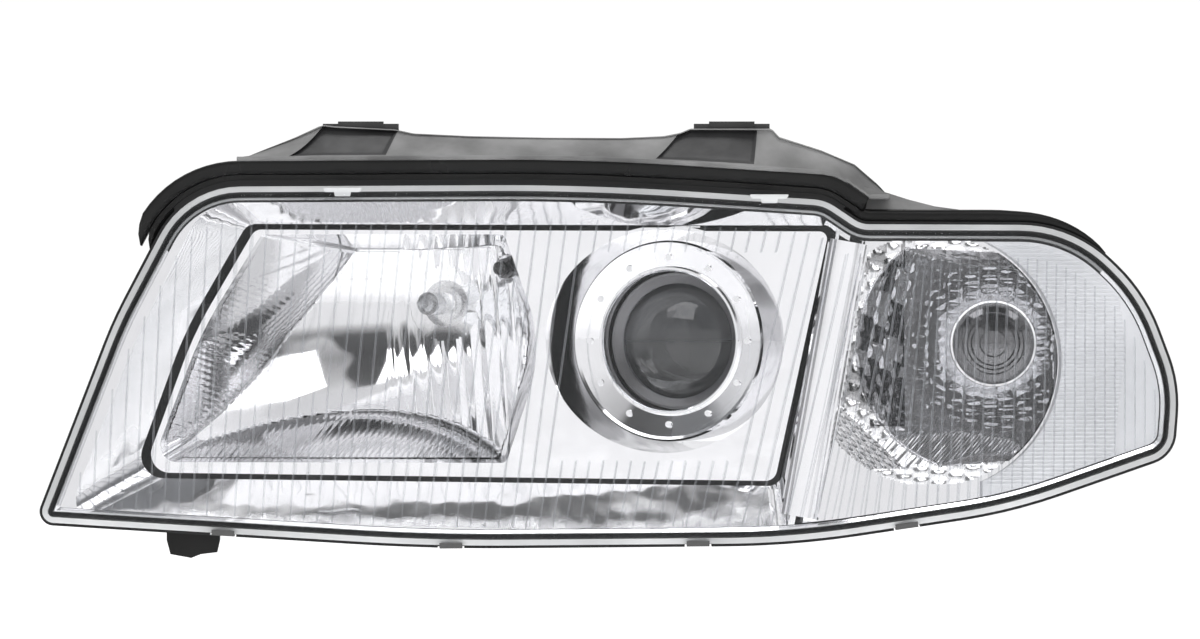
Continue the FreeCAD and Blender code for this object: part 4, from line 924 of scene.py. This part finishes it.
def build_optic():
    """The indicator's ringed cap: a low dome with raised rings, in a bright rim."""
    radii = [
        0.0, 2.5, 5.0, 6.6, 7.0, 7.4, 9.2, 11.2, 11.6, 12.0, 13.4, 13.8, 14.2, 15.8, 16.2, 16.6, 18.4, 20.2,
    ]
    raised = {7.0, 11.6, 13.8, 16.2}
    profile = [(r, 4.2 * (r / 21.0) ** 2 - (0.45 if r in raised else 0.0)) for r in radii]
    profile += [
        (20.8, 2.6), (21.6, 1.0), (22.6, 0.9), (23.0, 1.6), (23.0, 20.0), (21.2, 20.0), (21.2, 8.0),
        (0.0, 8.0),
    ]
    start = Vector((TURN_VERTEX.x, -24, TURN_VERTEX.z))
    points, faces = lathe(profile, start, Vector((0, 1, 0)), Vector((1, 0, 0)))
    bright = range(16 * AROUND, 22 * AROUND)  # the bands of faces from the rim outwards
    piece("indicator_optic", points, faces, BODY["turn_optic"], "optic_glass", replaces=["turn_optic"],
          sharp=30, second=("turn_chrome", [i for i in bright if i < len(faces)]))


def build_diffuser_ribs():
    """Fine level ribs on the outboard pane."""
    limit = [(p.x, p.y) for p in outline(LENS_EDGE, -9.6, LENS_PLAN)]
    parts = []
    for z in spread(-190, -62, 2.1):
        crossings = []
        for (xa, za), (xb, zb) in zip(limit, limit[1:] + limit[:1]):
            if (za > z) != (zb > z):
                crossings.append(xa + (xb - xa) * (z - za) / (zb - za))
        reach = (DRUM_RADIUS + 2.5) ** 2 - (z - DRUM.y) ** 2
        left = max(232.0, DRUM.x + math.sqrt(max(0.0, reach)))
        right = min(max(crossings) - 1.0, 306.0 - 0.12 * abs(z + 120))
        if right - left < 8:
            continue
        path = spread(left, right, 7.0)

        def section(_, x, z=z):
            ring = [(-0.85, 12.55), (0.0, 11.9), (0.85, 12.55)]
            return [on_face(x, z + dz, depth) for dz, depth in ring]

        parts.append(bar(path, section))
    points, faces = merge(parts)
    piece("diffuser_ribs", points, faces, BODY["side_diffuser"], "diffuser_clear", smooth=False)


def build_rim_shine():
    """A bright band beside the fixed frame, seen through the lens's rounded edge but not along its top."""
    inner, outer = outline(LENS_EDGE, -8.3, LENS_PLAN), outline(LENS_EDGE, -6.4, LENS_PLAN)
    pairs = list(zip(inner, outer))
    start = next(i for i, (p, _) in enumerate(pairs) if p.x > 290 and p.y < -64)
    turned_round = pairs[start:] + pairs[:start]
    stop = next(i for i, (p, _) in enumerate(turned_round) if p.y > -63)
    path = turned_round[:stop]

    def section(_, pair):
        a, b = pair
        corners = ((a, 12.5), (b, 10.5), (b, 12.5), (a, 14.5))
        return [on_face(p.x, p.y, depth) for p, depth in corners]

    points, faces = bar(path, section)
    piece("rim_shine", points, faces, "housing", "bezel_chrome", sharp=30, look="panel_chrome")


# The column between the two windows in section, as (across, depth behind the face).
COLUMN = [
    (-10.3, 15), (-10.3, 10.2), (-9.4, 8.2), (-8.6, 7.8), (-7.9, 8.5), (-7.2, 6.9), (-5.8, 5.9), (-2.5, 5.3),
    (2.6, 5.4), (4.4, 6.0), (5.2, 7.2), (6.0, 6.6), (7.6, 7.4), (8.4, 8.7), (9.4, 8.6), (10.3, 10.4),
    (10.3, 15),
]


def build_column():
    """The leaning chrome column, with a flat band down its middle between grooves."""
    foot, top = Vector((133, -207)), Vector((160, -56))
    path = [foot.lerp(top, k / 24) for k in range(-1, 25)]
    limit = outline(LENS_EDGE, -7.4, LENS_PLAN)
    flat = [(p.x, p.y) for p in limit]
    path = [p for p in path if inside((p.x, p.y), flat)]
    across = Vector(((top - foot).y, -(top - foot).x)).normalized()

    def section(_, p):
        return [on_face(p.x + across.x * u, p.y + across.y * u, depth) for u, depth in COLUMN]

    points, faces = bar(path, section)
    piece("divider_column", points, faces, BODY["divider_trim"], "divider_chrome", replaces=["divider_trim"],
          sharp=20)


# ---------------------------------------------------------------- stage

def soft_light(name, place, aim, size, power):
    """A white rectangular lamp at a place, turned to its aim, both in metres."""
    lamp = bpy.data.lights.new(name, "AREA")
    lamp.shape = "RECTANGLE"
    lamp.size, lamp.size_y = size
    lamp.energy = power
    thing = bpy.data.objects.new(name, lamp)
    bpy.context.scene.collection.objects.link(thing)
    thing.location = place
    thing.rotation_euler = (Vector(aim) - Vector(place)).to_track_quat("-Z", "Y").to_euler()


def build_world():
    """A white studio: bright at eye level, a dark band above it, bright overhead."""
    world = bpy.data.worlds.new("studio")
    bpy.context.scene.world = world
    world.use_nodes = True
    nodes, links = world.node_tree.nodes, world.node_tree.links
    where = nodes.new("ShaderNodeTexCoord")
    split = nodes.new("ShaderNodeSeparateXYZ")
    links.new(where.outputs["Generated"], split.inputs["Vector"])
    height = nodes.new("ShaderNodeMapRange")
    height.inputs["From Min"].default_value = -1.0
    links.new(split.outputs["Z"], height.inputs["Value"])
    stops = [
        (-1, 0.85), (-0.1, 0.95), (0.0, 1.0), (0.2, 0.97), (0.3, 0.7), (0.5, 0.35), (0.66, 0.6), (0.8, 1.0),
        (1, 1.1),
    ]
    tones = ramp(nodes, links, height.outputs["Result"], [((z + 1) / 2, v) for z, v in stops])
    patches = nodes.new("ShaderNodeTexNoise")
    patches.inputs["Scale"].default_value = 2.6
    patches.inputs["Detail"].default_value = 1.0
    links.new(where.outputs["Generated"], patches.inputs["Vector"])
    dark = ramp(nodes, links, patches.outputs["Fac"], [(0.46, 0.0), (0.54, 1.0)])
    high = ramp(nodes, links, height.outputs["Result"], [(0.6, 0.0), (0.66, 0.9)])
    share = nodes.new("ShaderNodeMath")
    share.operation = "MULTIPLY"
    links.new(dark.outputs["Color"], share.inputs[0])
    links.new(high.outputs["Color"], share.inputs[1])
    blend = nodes.new("ShaderNodeMix")
    blend.data_type = "RGBA"
    links.new(share.outputs["Value"], blend.inputs["Factor"])
    first, second, mixed = blend.inputs[6], blend.inputs[7], blend.outputs[2]  # its colour sockets
    links.new(tones.outputs["Color"], first)
    second.default_value = (0.03, 0.03, 0.03, 1)
    links.new(mixed, nodes["Background"].inputs["Color"])
    nodes["Background"].inputs["Strength"].default_value = 1.03


def build_stage():
    """A pale, slightly glowing floor under the lamp, 26 m across."""
    size, gap = 13.0, 0.09
    mesh = bpy.data.meshes.new("floor")
    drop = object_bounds()[0].z - gap
    corners = [(-size, -size, drop), (size, -size, drop), (size, size, drop), (-size, size, drop)]
    mesh.from_pydata(corners, [], [(0, 1, 2, 3)])
    floor = bpy.data.objects.new("floor", mesh)
    bpy.context.scene.collection.objects.link(floor)
    mat, nodes, links, bsdf = tree("floor_paper")
    paper = noise_node(nodes, links, 3.0, 2.0)
    links.new(ramp(nodes, links, paper.outputs["Fac"], [(0.3, 0.86), (0.7, 0.88)]).outputs["Color"],
              bsdf.inputs["Base Color"])
    bsdf.inputs["Roughness"].default_value = 0.9
    bsdf.inputs["Emission Color"].default_value = (1, 1, 1, 1)
    bsdf.inputs["Emission Strength"].default_value = 0.7
    mesh.materials.append(mat)


def build_camera():
    """A long lens straight in front, so that the view has the photograph's flat perspective."""
    data = bpy.data.cameras.new("view")
    data.lens, data.sensor_width = 686.0, 36.0
    camera = bpy.data.objects.new("view", data)
    bpy.context.scene.collection.objects.link(camera)
    camera.location = (0.0284, -12.09, -0.1034)
    camera.rotation_euler = (math.radians(90), 0, 0)
    bpy.context.scene.camera = camera
    bpy.context.scene.view_settings.view_transform = "Standard"


make_materials()
dress_frame()
build_lens()
build_ribs()
build_tabs()
build_seals()
build_apron()
build_tail()
build_main_relief()
build_turn_relief()
build_optic()
build_diffuser_ribs()
build_column()
build_rim_shine()
build_stage()
build_world()
build_camera()
soft_light("key", (-0.9, -1.6, 1.5), (0, 0, -0.1), (1.6, 1.0), 14)
soft_light("fill", (1.3, -1.3, 1.2), (0.05, 0, -0.1), (1.2, 0.8), 7)
soft_light("top", (0.1, 0.3, 2.0), (0.05, 0, -0.1), (1.2, 0.8), 18)

bpy.context.view_layer.update()
